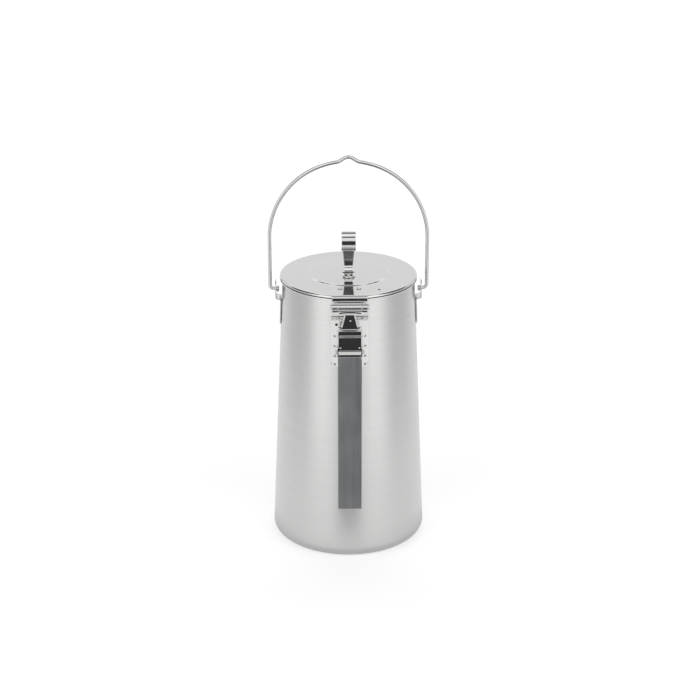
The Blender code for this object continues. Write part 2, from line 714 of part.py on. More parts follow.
def bracket_arms():
    """The two outer knuckles and the legs that carry them."""
    line = knuckle_line(FLAT_FOOT + FIT_GAP - LID_PIN_Z, ROLL_WRAP)
    place = Matrix.Translation((0.0, LID_PIN_Y, LID_PIN_Z)) @ SHEET_YZ
    arms = sheet("bracket_arms", line, ARM_SHEET, LEAF_HALF_WIDTH, place, collection=cutters)
    middle = KNUCKLE_HALF_WIDTH + SIDE_CLEARANCE
    reach = 3 * KNUCKLE_ROLL
    combine(arms, box(
        "arms_middle",
        (-middle, LID_PIN_Y - reach, FLAT_FOOT - reach),
        (middle, LID_PIN_Y + reach, LID_PIN_Z + reach),
    ))
    return hide(arms)


def make_bracket():
    """Pressed hat section with knuckles for the lid and cheeks for the handle."""
    points, faces = skin(bracket_surface(False), bracket_surface(True))
    bracket = add_mesh("hinge_bracket", mesh_from("hinge_bracket", points, faces), polished)
    inside = CHEEK_HALF_WIDTH - BRACKET_SHEET - NOTCH_LIP
    far = -HANDLE_PIN_Y + 5 * HANDLE_EYE_OUTER
    below = BRACKET_BOTTOM - FLANGE_DROP
    combine(bracket, box(
        "eye_notch",
        (-inside, -far, below),
        (inside, 0.0, NOTCH_TOP),
    ))
    flange_face = wall_radius(BRACKET_BOTTOM) + FIT_GAP + BRACKET_SHEET
    combine(bracket, box(
        "cheek_trim",
        (-FLANGE_HALF_WIDTH, -far, below),
        (FLANGE_HALF_WIDTH, -flange_face - FIT_GAP, HANDLE_PIN_Z - CHEEK_DROP),
    ))
    combine(bracket, rod(
        "handle_pin_hole", HANDLE_PIN_RADIUS + FIT_GAP, 4 * CHANNEL_HALF_WIDTH,
        (0.0, HANDLE_PIN_Y, HANDLE_PIN_Z), "X", 16,
    ))
    combine(bracket, bracket_arms(), "UNION")
    return bracket


# Side handle

def make_handle(handle_axis):
    """Flat strip with an eye rolled backwards at its top and a narrow neck at the eye."""
    roll = HANDLE_PIN_RADIUS + FIT_GAP + HANDLE_SHEET / 2
    end_z = HANDLE_PIN_Z - HANDLE_LENGTH
    end_y = -(wall_radius(end_z) + HANDLE_WALL_GAP + HANDLE_SHEET / 2) - HANDLE_PIN_Y
    line = (
        arc((0.0, 0.0), roll, 180 - HANDLE_EYE_WRAP, 180, 20)
        + [(-roll, -HANDLE_JOGGLE_LENGTH / 4)]
        + [(-roll + HANDLE_JOGGLE, -HANDLE_JOGGLE_LENGTH)]
        + [(end_y, -HANDLE_LENGTH)]
    )
    handle = sheet(
        "handle_strip", line, HANDLE_SHEET, HANDLE_HALF_WIDTH, SHEET_YZ, brushed, handle_axis
    )
    eye_half = CHEEK_HALF_WIDTH - BRACKET_SHEET - SIDE_CLEARANCE
    for side in (-1, 1):
        ends = sorted((side * eye_half, side * 2 * HANDLE_HALF_WIDTH))
        combine(handle, box(
            f"eye_side_{side}",
            (ends[0], -4 * roll, -HANDLE_NOTCH),
            (ends[1], 4 * roll, 4 * roll),
        ))
    return handle


# Ears and bail

def ear_line():
    """Leg up the wall, a short shelf outwards and an upright with the bail's hole.

    Both ends run past the rounded outline that trims them."""
    foot = EAR_SHELF_Z - EAR_LEG_LENGTH
    away = FIT_GAP + EAR_SHEET / 2
    return (
        [(wall_radius(foot - EAR_SHEET) + away, foot - EAR_SHEET)]
        + arc((EAR_LEG_X + EAR_BEND, EAR_SHELF_Z - EAR_BEND), EAR_BEND, 180, 90, 6)
        + arc((EAR_X - EAR_BEND, EAR_SHELF_Z + EAR_BEND), EAR_BEND, -90, 0, 6)
        + [(EAR_X, EAR_PIVOT_Z + EAR_TOP_RISE + EAR_SHEET)]
    ), foot


def ear_outline(side, foot):
    """Prism with round ends that trims the ear as seen from its side."""
    top = EAR_PIVOT_Z + EAR_TOP_RISE
    half = EAR_HALF_WIDTH
    outline = (
        arc((0.0, top - half), half, 0, 180, 13) + arc((0.0, foot + half), half, 180, 360, 13)
    )
    place = Matrix.Translation((side * EAR_X, 0.0, 0.0)) @ SHEET_YZ
    return hide(from_curve(
        f"ear_outline_{side}", outline, place, collection=cutters,
        closed=True, fill_mode="BOTH", extrude=3 * EAR_HALF_WIDTH,
    ))


def make_ear(side, name):
    line, foot = ear_line()
    if side < 0:
        line = [(-x, z) for x, z in line]
    ear = sheet(name, line, EAR_SHEET, EAR_HALF_WIDTH * 1.2, SHEET_XZ, polished)
    combine(ear, ear_outline(side, foot), "INTERSECT")
    hole = BAIL_WIRE_RADIUS + BAIL_HOLE_CLEARANCE
    combine(ear, rod(f"{name}_hole", hole, 6 * EAR_SHEET, (side * EAR_X, 0.0, EAR_PIVOT_Z), "X"))
    return ear


def bail_line():
    """Right half of the bail's centre line, from the middle down to the head, and radii."""
    half_span = EAR_X + EAR_SHEET / 2 + BAIL_SIDE_GAP + BAIL_WIRE_RADIUS
    swing = math.hypot(LID_RADIUS - LID_PIN_Y, LID_PIN_DROP)
    reach = swing + BAIL_LID_CLEARANCE + BAIL_WIRE_RADIUS
    apex = LID_PIN_Z + math.sqrt(reach**2 - LID_PIN_Y**2) - EAR_PIVOT_Z
    centre = apex - half_span

    near = np.linspace(0.0, BAIL_HUMP_HALF, 8)
    bump = BAIL_HUMP_RISE * (0.5 + 0.5 * np.cos(np.pi * near / BAIL_HUMP_HALF))
    hump = list(zip(near, centre + np.sqrt(half_span**2 - near**2) + bump))
    start = math.degrees(math.acos(BAIL_HUMP_HALF / half_span))
    arch = arc((0.0, centre), half_span, start, 0, 18)[1:]
    foot = arc((half_span - BAIL_BEND, BAIL_BEND), BAIL_BEND, 0, -90, 6)
    head_face = EAR_X - EAR_SHEET / 2 - PIN_CLEARANCE
    neck = [(head_face + BAIL_HEAD_STEP, 0.0)]
    head = [(head_face, 0.0), (head_face - BAIL_HEAD, 0.0)]
    line = hump + arch + foot + neck + head
    radii = [1.0] * (len(line) - 2) + [BAIL_HEAD_FACTOR] * 2
    return line, radii


def make_bail(bail_axis):
    right, radii = bail_line()
    line = [(-x, 0.0, z) for x, z in reversed(right)] + [(x, 0.0, z) for x, z in right[1:]]
    return from_curve(
        "bail", line, Matrix.Identity(4), polished, bail_axis,
        radii=radii[::-1] + radii[1:], bevel_depth=BAIL_WIRE_RADIUS,
        bevel_resolution=2, use_fill_caps=True,
    )


clear_scene()
parts = make_collection("camping_kettle")
cutters = make_collection("cutters")
satin = steel("satin_steel", (0.62, 0.62, 0.61), 0.32)
polished = steel("polished_steel", (0.72, 0.72, 0.71), 0.10)
brushed = steel("brushed_steel", (0.26, 0.27, 0.28), 0.38)

lid_hinge = axis_empty("lid_hinge", (0.0, LID_PIN_Y, LID_PIN_Z))
handle_hinge = axis_empty("handle_hinge", (0.0, HANDLE_PIN_Y, HANDLE_PIN_Z))
bail_hinge = axis_empty("bail_hinge", (0.0, 0.0, EAR_PIVOT_Z))

make_body()
make_spout()
make_bracket()
make_ear(-1, "ear_left")
make_ear(1, "ear_right")
make_lid(lid_hinge)
make_leaf(lid_hinge)
make_leaf_rivets(lid_hinge)
make_knob(lid_hinge)
make_knob_rivet(lid_hinge)
make_handle(handle_hinge)
make_bail(bail_hinge)
headed_pin(
    "lid_pin", LID_PIN_RADIUS, LEAF_HALF_WIDTH + FIT_GAP,
    LID_PIN_HEAD_RADIUS, LID_PIN_HEAD, (0.0, LID_PIN_Y, LID_PIN_Z),
)
headed_pin(
    "handle_pin", HANDLE_PIN_RADIUS, CHEEK_HALF_WIDTH + CHANNEL_RAMP + FIT_GAP,
    HANDLE_PIN_HEAD_RADIUS, HANDLE_PIN_HEAD, (0.0, HANDLE_PIN_Y, HANDLE_PIN_Z),
)
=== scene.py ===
import json
import math

import bmesh
import bpy
import numpy as np
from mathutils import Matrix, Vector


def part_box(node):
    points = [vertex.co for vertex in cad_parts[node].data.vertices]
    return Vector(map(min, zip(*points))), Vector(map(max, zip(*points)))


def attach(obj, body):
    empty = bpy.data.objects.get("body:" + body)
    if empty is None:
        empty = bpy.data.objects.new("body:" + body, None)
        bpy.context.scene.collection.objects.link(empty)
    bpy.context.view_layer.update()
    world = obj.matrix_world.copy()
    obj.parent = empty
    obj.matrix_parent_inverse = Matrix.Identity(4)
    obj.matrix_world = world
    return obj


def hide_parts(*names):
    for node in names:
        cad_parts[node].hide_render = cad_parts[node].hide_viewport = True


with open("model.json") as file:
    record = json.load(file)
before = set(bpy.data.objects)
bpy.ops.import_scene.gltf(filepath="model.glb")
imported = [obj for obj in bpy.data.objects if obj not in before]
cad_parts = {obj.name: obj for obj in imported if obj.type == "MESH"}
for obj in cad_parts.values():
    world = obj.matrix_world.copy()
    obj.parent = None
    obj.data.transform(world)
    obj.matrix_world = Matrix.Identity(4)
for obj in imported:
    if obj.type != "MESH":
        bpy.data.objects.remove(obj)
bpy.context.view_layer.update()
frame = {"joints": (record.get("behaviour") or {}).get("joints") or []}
mm = 0.001

print("frame: joints and boxes")
pivot = {joint["name"]: np.array(joint["pos_m"]) for joint in frame["joints"]}
lidPin = pivot["lid_hinge"]
handlePin = pivot["handle_fold"]
bailPin = pivot["bail_swing"]


def boxOf(node):
    # low and high corner of a CAD node's box
    low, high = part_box(node)
    return np.array(low), np.array(high)


# Surfaces: each is a grid of points worked out as whole arrays

fine = {
    # angle of a sharp edge, distance of welded points, length of a sliver, and next to nothing
    "sharp": math.radians(32.0), "weld": 1e-7, "sliver": 1e-8, "tiny": 1e-9,
    "beside": 0.06,  # how far a row beside a strip's corner is from it, as a share of the flat
    "leastHalf": 0.02 * mm, "leastThick": 0.01 * mm,  # at the two ends of a strip
    "reach": 0.02 * mm,  # for tangents
    "roundSteps": 48,  # points round a rivet or a pin
}


def smoothStep(start, end, value):
    # 0 before start, 1 after end, and 3t^2 - 2t^3 between
    t = np.clip((value - start) / (end - start), 0.0, 1.0)
    return t * t * (3.0 - 2.0 * t)


def unit(vectors):
    # each vector over its length
    return vectors / np.maximum(np.linalg.norm(vectors, axis=-1, keepdims=True), fine["tiny"])


def circle(steps):
    # cosines and sines of evenly spaced angles, once round
    angle = np.linspace(0.0, 2.0 * np.pi, steps, endpoint=False)
    return np.cos(angle), np.sin(angle)


def arcPoints(centre, radius, start, end, step=3.0):
    # centre plus radius times (cos, sin) of evenly spaced angles, in degrees
    angles = np.radians(np.linspace(start, end, max(2, int(abs(end - start) / step) + 1)))
    return np.array(centre) + radius * np.stack([np.cos(angles), np.sin(angles)], axis=1)


def gridFaces(rows, columns, closeRows=False, closeColumns=False):
    # one quad between each four neighbours of a rows by columns grid
    r, c = np.meshgrid(
        np.arange(rows if closeRows else rows - 1),
        np.arange(columns if closeColumns else columns - 1), indexing="ij",
    )
    down = (r + 1) % rows
    right = (c + 1) % columns
    corners = [r * columns + c, r * columns + right, down * columns + right, down * columns + c]
    return np.stack(corners, axis=-1).reshape(-1, 4)


def cappedFaces(rows, columns):
    # a tube of rings with a face over each end
    first = list(range(columns))
    last = [(rows - 1) * columns + c for c in range(columns)]
    return gridFaces(rows, columns, closeColumns=True).tolist() + [first[::-1], last]


def closedMesh(name, points, faces):
    # weld what coincides and turn every face outwards
    mesh = bpy.data.meshes.new(name)
    mesh.from_pydata(np.asarray(points).reshape(-1, 3).tolist(), [], [list(f) for f in faces])
    build = bmesh.new()
    build.from_mesh(mesh)
    bmesh.ops.remove_doubles(build, verts=build.verts, dist=fine["weld"])
    bmesh.ops.dissolve_degenerate(build, edges=build.edges, dist=fine["sliver"])
    bmesh.ops.recalc_face_normals(build, faces=build.faces)
    build.to_mesh(mesh)
    build.free()
    return mesh


def addPiece(name, points, faces, material, body, slot, replaced=()):
    # a smooth piece with sharp edges, on its body, and the CAD node it replaces; slot is not used
    mesh = closedMesh(name, points, faces)
    mesh.shade_smooth()
    mesh.set_sharp_from_angle(angle=fine["sharp"])
    mesh.materials.append(material)
    piece = bpy.data.objects.new(name, mesh)
    bpy.context.scene.collection.objects.link(piece)
    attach(piece, body)
    if replaced:
        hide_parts(*replaced)
    return piece


def addTurned(name, grid, *rest):
    # a grid whose columns run once round
    return addPiece(name, grid, gridFaces(*grid.shape[:2], closeColumns=True), *rest)


def addTube(name, grid, *rest):
    # rings of points with a face over each end
    return addPiece(name, grid, cappedFaces(*grid.shape[:2]), *rest)


def addStrip(name, grid, order, *rest):
    # order says which of X, Y, Z the across, a and b values are
    points = np.zeros_like(grid)
    points[:, :, order] = grid
    return addTube(name, points, *rest)


def addSkin(name, front, back, mask, *rest):
    # Two grids of points and a mask of the quads that exist (None for all): a quad on each side,
    # and a wall quad wherever the mask changes from one quad to the next.
    rows, columns = front.shape[:2]
    if mask is None:
        mask = np.ones((rows - 1, columns - 1), bool)
    points = np.concatenate([front.reshape(-1, 3), back.reshape(-1, 3)])
    side = rows * columns
    quads = gridFaces(rows, columns)[mask.reshape(-1)]
    padded = np.pad(mask, 1)
    walls = []
    for changes, along in (
        (padded[1:-1, 1:] != padded[1:-1, :-1], columns), (padded[1:, 1:-1] != padded[:-1, 1:-1], 1),
    ):
        r, c = np.nonzero(changes)
        start = r * columns + c
        walls.append(np.stack([start, start + along, start + along + side, start + side], axis=1))
    return addPiece(name, points, np.concatenate([quads, quads[:, ::-1] + side, *walls]), *rest)


def turnedGrid(profile, steps):
    # each (radius, height) of the profile swung once round the Z axis
    cos, sin = circle(steps)
    radius, height = np.asarray(profile).T[:, :, None]
    return np.stack([radius * cos, radius * sin, height + 0.0 * cos], axis=2)


def pathLength(path):
    return np.linalg.norm(np.diff(path, axis=0), axis=1).sum()


def alongPath(path, stations):
    # places and normals at these distances along a polyline
    run = np.concatenate([[0.0], np.cumsum(np.linalg.norm(np.diff(path, axis=0), axis=1))])
    before, place, after = (
        np.stack([np.interp(stations + shift, run, path[:, k]) for k in range(2)], axis=1)
        for shift in (-fine["reach"], 0.0, fine["reach"])
    )
    tangent = unit(after - before)
    return place, np.stack([-tangent[:, 1], tangent[:, 0]], axis=1)


def stripGrid(path, halfWidth, strip, offset=0.0):
    # A rounded rectangle, twice halfWidth(s) wide and as thick as the sheet, stands square to
    # the path at each distance s, and shrinks by a quarter circle of the edge radius at both
    # ends. A row of points beside each corner keeps the faces flat. The grid holds (across,
    # along a, along b); offset shifts it across.
    edge, length = strip["edge"], pathLength(path)
    quarter = np.radians(np.linspace(0.0, 90.0, 5))
    inner = np.linspace(edge, length - edge, max(4, int(length / strip["spacing"])))
    stations = np.concatenate([
        edge * (1.0 - np.sin(quarter[::-1])), inner[1:-1], length - edge * (1.0 - np.sin(quarter)),
    ])
    shrink = np.concatenate([
        edge * (1.0 - np.cos(quarter[::-1])), 0.0 * inner[1:-1], edge * (1.0 - np.cos(quarter)),
    ])
    place, normal = alongPath(path, stations)
    half = np.maximum(halfWidth(stations, length) - shrink, fine["leastHalf"])[:, None]
    thick = np.maximum(strip["sheet"] / 2 - shrink, fine["leastThick"])[:, None]
    turn = np.radians([[0.0, 22.5, 45.0, 67.5, 90.0, 90.0], [0.0, 0.0, 22.5, 45.0, 67.5, 90.0]])
    corner = np.concatenate([turn[k % 2] + k * np.pi / 2 for k in range(4)])[None, :]
    beside = np.tile([0, 0, 0, 0, 0, 1, 1, 0, 0, 0, 0, 0], 2)[None, :]
    sideA = np.repeat([1.0, -1.0, -1.0, 1.0], 6)[None, :]
    sideN = np.repeat([1.0, 1.0, -1.0, -1.0], 6)[None, :]
    roundA = np.minimum(edge, half)
    roundN = np.minimum(edge, thick)
    across = sideA * (1.0 - fine["beside"] * beside) * (half - roundA) + roundA * np.cos(corner)
    away = sideN * (thick - roundN) + roundN * np.sin(corner)
    flat = place[:, None, :] + away[:, :, None] * normal[:, None, :]
    return np.concatenate([(across + offset)[:, :, None], flat], axis=2)


def tubeGrid(line, radius, sides=16):
    # a ring of this radius round each point of a smooth line in space
    tangent = unit(np.gradient(line, axis=0))
    level = unit(np.cross(tangent, [0.0, 0.0, 1.0]))[:, None]
    other = np.cross(tangent, level[:, 0])[:, None]
    cos, sin = (values[None, :, None] for values in circle(sides))
    return line[:, None] + radius * (level * cos + other * sin)


def cutHoles(piece, centres, radius, length, axis, sides=32):
    # closed rods along X, Y or Z (axis 0, 1 or 2) in one mesh, taken out by one exact Boolean
    points = np.zeros((len(centres), 2, sides, 3))
    points[..., [k for k in range(3) if k != axis]] = radius * np.stack(circle(sides), axis=1)
    points[..., axis] = np.array([-0.5, 0.5])[None, :, None] * length
    points += np.asarray(centres)[:, None, None, :]
    one = cappedFaces(2, sides)
    faces = [[index + k * 2 * sides for index in f] for k in range(len(centres)) for f in one]
    tool = bpy.data.objects.new("holeTool", closedMesh("rods", points, faces))
    bpy.context.scene.collection.objects.link(tool)
    cut = piece.modifiers.new("Holes", "BOOLEAN")
    cut.solver = "EXACT"
    cut.object = tool
    bpy.context.view_layer.update()
    graph = bpy.context.evaluated_depsgraph_get()
    mesh = bpy.data.meshes.new_from_object(piece.evaluated_get(graph))
    piece.modifiers.clear()
    bpy.data.objects.remove(tool, do_unlink=True)
    old = piece.data
    piece.data = mesh
    bpy.data.meshes.remove(old)
    mesh.name = piece.name
    mesh.set_sharp_from_angle(angle=fine["sharp"])


# Materials: effects that several finishes share are node groups

effect = {
    # hairlines: detail and roughness of the lines, and how much coarser and plainer the streaks are
    "lineDetail": 3.0, "lineRoughness": 0.65, "streakScale": 0.13, "streakDetail": 2.0,
    # smudges and rubbed edges: detail and roughness of the patches, and where each mask fades
    "patchDetail": 4.0, "patchRoughness": 0.6, "patchFade": (0.42, 0.68), "edgeFade": (0.53, 0.62),
    "lineFade": (0.3, 0.7),  # the range of the lines that becomes the range of the roughness
    "nodeSpacing": 190,
}


def isSocket(value):
    return isinstance(value, bpy.types.NodeSocket)


def feed(tree, node, inputs):
    # each input's name or number, and its value or the output that feeds it
    for key, value in inputs.items():
        if isSocket(value):
            tree.links.new(value, node.inputs[key])
        else:
            node.inputs[key].default_value = value


def addNode(tree, kind, inputs, **values):
    # a new node, below the others in the column after the nodes that feed it
    made = tree.nodes.new(kind if kind.startswith("NodeGroup") else "ShaderNode" + kind)
    for key, value in values.items():
        setattr(made, key, value)
    feed(tree, made, inputs)
    sources = [value.node.location.x for value in inputs.values() if isSocket(value)]
    x = max(sources, default=0.0) + effect["nodeSpacing"]
    made.location = (x, -effect["nodeSpacing"] * sum(node.location.x == x for node in tree.nodes))
    return made


def outputOf(tree, kind, inputs, output=0, **values):
    return addNode(tree, kind, inputs, **values).outputs[output]


def maths(tree, operation, *inputs):
    return outputOf(tree, "Math", dict(enumerate(inputs)), operation=operation)


def noise(tree, vector, scale, detail, roughness=0.5):
    inputs = {"Vector": vector, "Scale": scale, "Detail": detail, "Roughness": roughness}
    return outputOf(tree, "TexNoise", inputs)


def ranged(tree, value, *limits, interpolation="SMOOTHSTEP"):
    # limits: from, to, and what those two become
    inputs = {"Value": value, **dict(zip(("From Min", "From Max", "To Min", "To Max"), limits))}
    return outputOf(tree, "MapRange", inputs, interpolation_type=interpolation)


def mixColour(tree, share, *colours):
    # each colour is three values, or the output that gives it
    first, second = (c if isSocket(c) else (*c, 1.0) for c in colours)
    return outputOf(tree, "Mix", {0: share, 6: first, 7: second}, 2, data_type="RGBA")


def newGroup(name, inputs, outputs):
    # inputs: name to starting value, or to None for a vector
    tree = bpy.data.node_groups.new(name, "ShaderNodeTree")
    for label, value in inputs.items():
        kind = "NodeSocketVector" if value is None else "NodeSocketFloat"
        socket = tree.interface.new_socket(name=label, in_out="INPUT", socket_type=kind)
        if value is not None:
            socket.default_value = value
    for label in outputs:
        tree.interface.new_socket(name=label, in_out="OUTPUT", socket_type="NodeSocketFloat")
    return tree, addNode(tree, "NodeGroupInput", {}).outputs


def hairlineGroup():
    # fine lines that run in the vector's XY plane and change quickly along its Z
    tree, into = newGroup(
        "hairlines", {"Vector": None, "Fineness": 3000.0, "Stretch": 60.0}, ("Lines", "Streaks"))
    fineness = into["Fineness"]
    long = maths(tree, "DIVIDE", fineness, into["Stretch"])
    scale = outputOf(tree, "CombineXYZ", {"X": long, "Y": long, "Z": fineness})
    grown = outputOf(tree, "VectorMath", {0: into["Vector"], 1: scale}, operation="MULTIPLY")
    coarse = outputOf(tree, "VectorMath", {0: grown, "Scale": effect["streakScale"]}, operation="SCALE")
    addNode(tree, "NodeGroupOutput", {
        "Lines": noise(tree, grown, 1.0, effect["lineDetail"], effect["lineRoughness"]),
        "Streaks": noise(tree, coarse, 1.0, effect["streakDetail"]),
    })
    return tree


def smudgeGroup():
    # soft cloudy patches, such as handling leaves on steel; Size in metres
    tree, into = newGroup("smudges", {"Vector": None, "Size": 0.03}, ("Mask", "Waves"))
    scale = maths(tree, "DIVIDE", 1.0, into["Size"])
    patches = noise(tree, into["Vector"], scale, effect["patchDetail"], effect["patchRoughness"])
    addNode(tree, "NodeGroupOutput", {
        "Mask": ranged(tree, patches, *effect["patchFade"]),
        "Waves": noise(tree, into["Vector"], scale, 0.0),
    })
    return tree


def edgeGroup():
    # 1 on edges that handling has rubbed brighter, 0 on flats
    tree, into = newGroup("edgePolish", dict(zip(("Start", "End"), effect["edgeFade"])), ("Mask",))
    pointiness = outputOf(tree, "NewGeometry", {}, "Pointiness")
    mask = ranged(tree, pointiness, into["Start"], into["End"])
    addNode(tree, "NodeGroupOutput", {"Mask": mask})
    return tree


def newMaterial(name):
    material = bpy.data.materials.new(name)
    material.use_nodes = True
    return material, material.node_tree


def steelMaterial(name, look, groups):
    # look gives the colours of the lines and of rubbed edges, the range of the roughness, and how
    # the lines run and how deep they are
    material, tree = newMaterial(name)
    tree.nodes.clear()
    coords = outputOf(tree, "TexCoord", {}, "Object")
    turned = outputOf(tree, "Mapping", {"Vector": coords, "Rotation": look["turn"]})
    inputs = {"Vector": turned, "Fineness": look["fineness"], "Stretch": look["stretch"]}
    lines = addNode(tree, "Group", inputs, node_tree=groups["hairlines"]).outputs
    inputs = {"Vector": coords, "Size": look["patch"]}
    smudges = addNode(tree, "Group", inputs, node_tree=groups["smudges"]).outputs
    edges = outputOf(tree, "Group", {}, node_tree=groups["edgePolish"])

    tone = maths(tree, "MULTIPLY_ADD", lines["Streaks"], look["streak"], 0.5 - look["streak"] / 2)
    shade = mixColour(tree, tone, look["dark"], look["light"])
    rubbed = mixColour(tree, edges, shade, look["rubbed"])
    rough = ranged(tree, lines["Lines"], *effect["lineFade"], *look["rough"], interpolation="LINEAR")
    handled = maths(tree, "MULTIPLY_ADD", smudges["Mask"], look["smudge"], rough)
    normal = {}
    for height, distance in ((smudges["Waves"], look["wave"]), (lines["Lines"], look["groove"])):
        inputs = {"Strength": 1.0, "Distance": distance, "Height": height, **normal}
        normal = {"Normal": outputOf(tree, "Bump", inputs)}
    shader = addNode(tree, "BsdfPrincipled", {
        "Metallic": 1.0, "Anisotropic": look["anisotropic"],
        "Base Color": rubbed, "Roughness": handled, **normal,
    })
    if look["anisotropic"]:
        axis = outputOf(tree, "CombineXYZ", dict(enumerate(look["glint"])))
        world = outputOf(
            tree, "VectorTransform", {0: axis},
            vector_type="VECTOR", convert_from="OBJECT", convert_to="WORLD",
        )
        feed(tree, shader, {"Tangent": world})
    addNode(tree, "OutputMaterial", {0: shader.outputs[0]})
    return material


def darkMaterial(name, look, groups):
    # burnt steel round a spot weld, and painted shade in the lid's crease, on the bracket's dark lines and
    # for the small hole; in two colours and a range of roughness
    material, tree = newMaterial(name)
    coords = outputOf(tree, "TexCoord", {}, "Object")
    inputs = {"Vector": coords, "Size": look["patch"]}
    smudges = outputOf(tree, "Group", inputs, "Mask", node_tree=groups["smudges"])
    feed(tree, tree.nodes["Principled BSDF"], {
        "Metallic": look["metallic"],
        "Base Color": mixColour(tree, smudges, look["dark"], look["light"]),
        "Roughness": ranged(tree, smudges, 0.0, 1.0, *look["rough"], interpolation="LINEAR"),
    })
    return material


print("materials: satin, polished, buffed and brushed steel")
groups = {"hairlines": hairlineGroup(), "smudges": smudgeGroup(), "edgePolish": edgeGroup()}
anySteel = {"smudge": 0.03, "streak": 0.6, "turn": (0.0, 0.0, 0.0), "anisotropic": 0.0}
satinSteel = steelMaterial("satinSteel", {
    **anySteel,
    "dark": (0.62, 0.62, 0.615), "light": (0.69, 0.69, 0.685), "rubbed": (0.74, 0.74, 0.735),
    "rough": (0.27, 0.33), "patch": 0.045, "fineness": 2600.0, "stretch": 90.0, "streak": 0.8,
    "wave": 0.04 * mm, "groove": 0.0012 * mm, "anisotropic": 0.7, "glint": (0.0, 0.0, 1.0),
}, groups)
polishedSteel = steelMaterial("polishedSteel", {
    **anySteel,
    "dark": (0.68, 0.68, 0.675), "light": (0.72, 0.72, 0.715), "rubbed": (0.78, 0.78, 0.775),
    "rough": (0.035, 0.06), "patch": 0.018, "fineness": 1600.0, "stretch": 4.0,
    "wave": 0.02 * mm, "groove": 0.0004 * mm, "turn": (0.3, 0.2, 0.0),
}, groups)
buffedSteel = steelMaterial("buffedSteel", {
    **anySteel,
    "dark": (0.70, 0.70, 0.695), "light": (0.74, 0.74, 0.735), "rubbed": (0.78, 0.78, 0.775),
    "rough": (0.07, 0.11), "patch": 0.012, "fineness": 1800.0, "stretch": 12.0,
    "wave": 0.01 * mm, "groove": 0.0005 * mm,
}, groups)
# painted shade: the side handle's steel is far darker than the other steel, standing in for the dark
# surroundings it mirrors
brushedSteel = steelMaterial("brushedSteel", {
    **anySteel,
    "dark": (0.24, 0.25, 0.26), "light": (0.35, 0.36, 0.365), "rubbed": (0.50, 0.50, 0.50),
    "rough": (0.30, 0.42), "smudge": 0.05, "patch": 0.03, "fineness": 2400.0, "stretch": 70.0,
    "streak": 1.6, "wave": 0.02 * mm, "groove": 0.003 * mm, "turn": (0.0, math.pi / 2, 0.0),
    "anisotropic": 0.6, "glint": (1.0, 0.0, 0.0),
}, groups)
# burnt steel for the spot welds, also used as painted shade
darkWeld = darkMaterial("darkWeld", {
    "dark": (0.012, 0.011, 0.010), "light": (0.045, 0.038, 0.032), "rough": (0.45, 0.7),
    "metallic": 0.5, "patch": 0.6 * mm,
}, groups)


# Vessel: a tapered wall on a rounded corner, with a rolled rim

print("vessel and spout")
bodyHigh = boxOf("body_shell")[1]
vessel = {
    "baseRadius": bodyHigh[0], "mouthRadius": 52.1 * mm, "height": bodyHigh[2],
    "corner": 8.5 * mm, "wall": 0.7 * mm, "bead": 0.85 * mm, "steps": 288,
    "beadUnder": 1.4,  # how far the bead reaches below its middle, in its radii
    "holeRadius": 2.1 * mm, "holePitch": 6.5 * mm, "holeRows": 4, "firstRow": 2, "holeDrop": 23.0 * mm,
    "punch": 9.0 * mm,
}
fitGap = 0.3 * mm


def wallRadius(z):
    # straight taper from the top of the rounded corner to the mouth
    share = (z - vessel["corner"]) / (vessel["height"] - vessel["corner"])
    return vessel["baseRadius"] + (vessel["mouthRadius"] - vessel["baseRadius"]) * share


def vesselProfile():
    # floor, inner corner and wall, over the rim's bead, down the outer wall to the base
    v = vessel
    lean = math.degrees(math.atan2(v["baseRadius"] - v["mouthRadius"], v["height"] - v["corner"]))
    corner = (v["baseRadius"] - v["corner"], v["corner"])
    bead = (v["mouthRadius"] - v["wall"] + v["bead"], v["height"] - v["bead"])
    under = bead[1] - v["beadUnder"] * v["bead"]
    down = np.linspace(under, 2 * v["corner"], 24)[:, None]
    return np.concatenate([
        [[0.0, v["wall"]]],
        arcPoints(corner, v["corner"] - v["wall"], -90, lean),
        arcPoints(bead, v["bead"], 180, -70, 12.0),
        np.concatenate([wallRadius(down), down], axis=1),
        arcPoints(corner, v["corner"], lean, -90),
        [[0.0, 0.0]],
    ])


def strainerPlaces():
    # rows of holes behind the spout, each row one hole longer than the row below
    v = vessel
    row = np.concatenate([np.full(v["firstRow"] + k, k) for k in range(v["holeRows"])])
    index = np.concatenate([np.arange(v["firstRow"] + k) for k in range(v["holeRows"])])
    z = v["height"] - v["holeDrop"] - (v["holeRows"] - 1 - row) * v["holePitch"]
    x = (index - (v["firstRow"] + row - 1) / 2) * v["holePitch"]
    return np.stack([x, wallRadius(z), z], axis=1)


shell = addTurned(
    "vessel", turnedGrid(vesselProfile(), vessel["steps"]), satinSteel,
    "root", "satin_steel", ["body_shell"],
)
cutHoles(shell, strainerPlaces(), vessel["holeRadius"], vessel["punch"], 1)

spout = {
    "height": 54.0 * mm, "drop": 15.0 * mm, "halfWidth": boxOf("spout")[1][0], "reach": 28.0 * mm,
    "tipRise": 3.0 * mm, "sheet": 0.8 * mm, "point": 1.3 * mm, "nose": 1.25, "side": 0.8, "keel": 1.1,
    "rows": 90, "columns": 121, "lip": 0.55 * mm, "seam": 0.45 * mm,
}


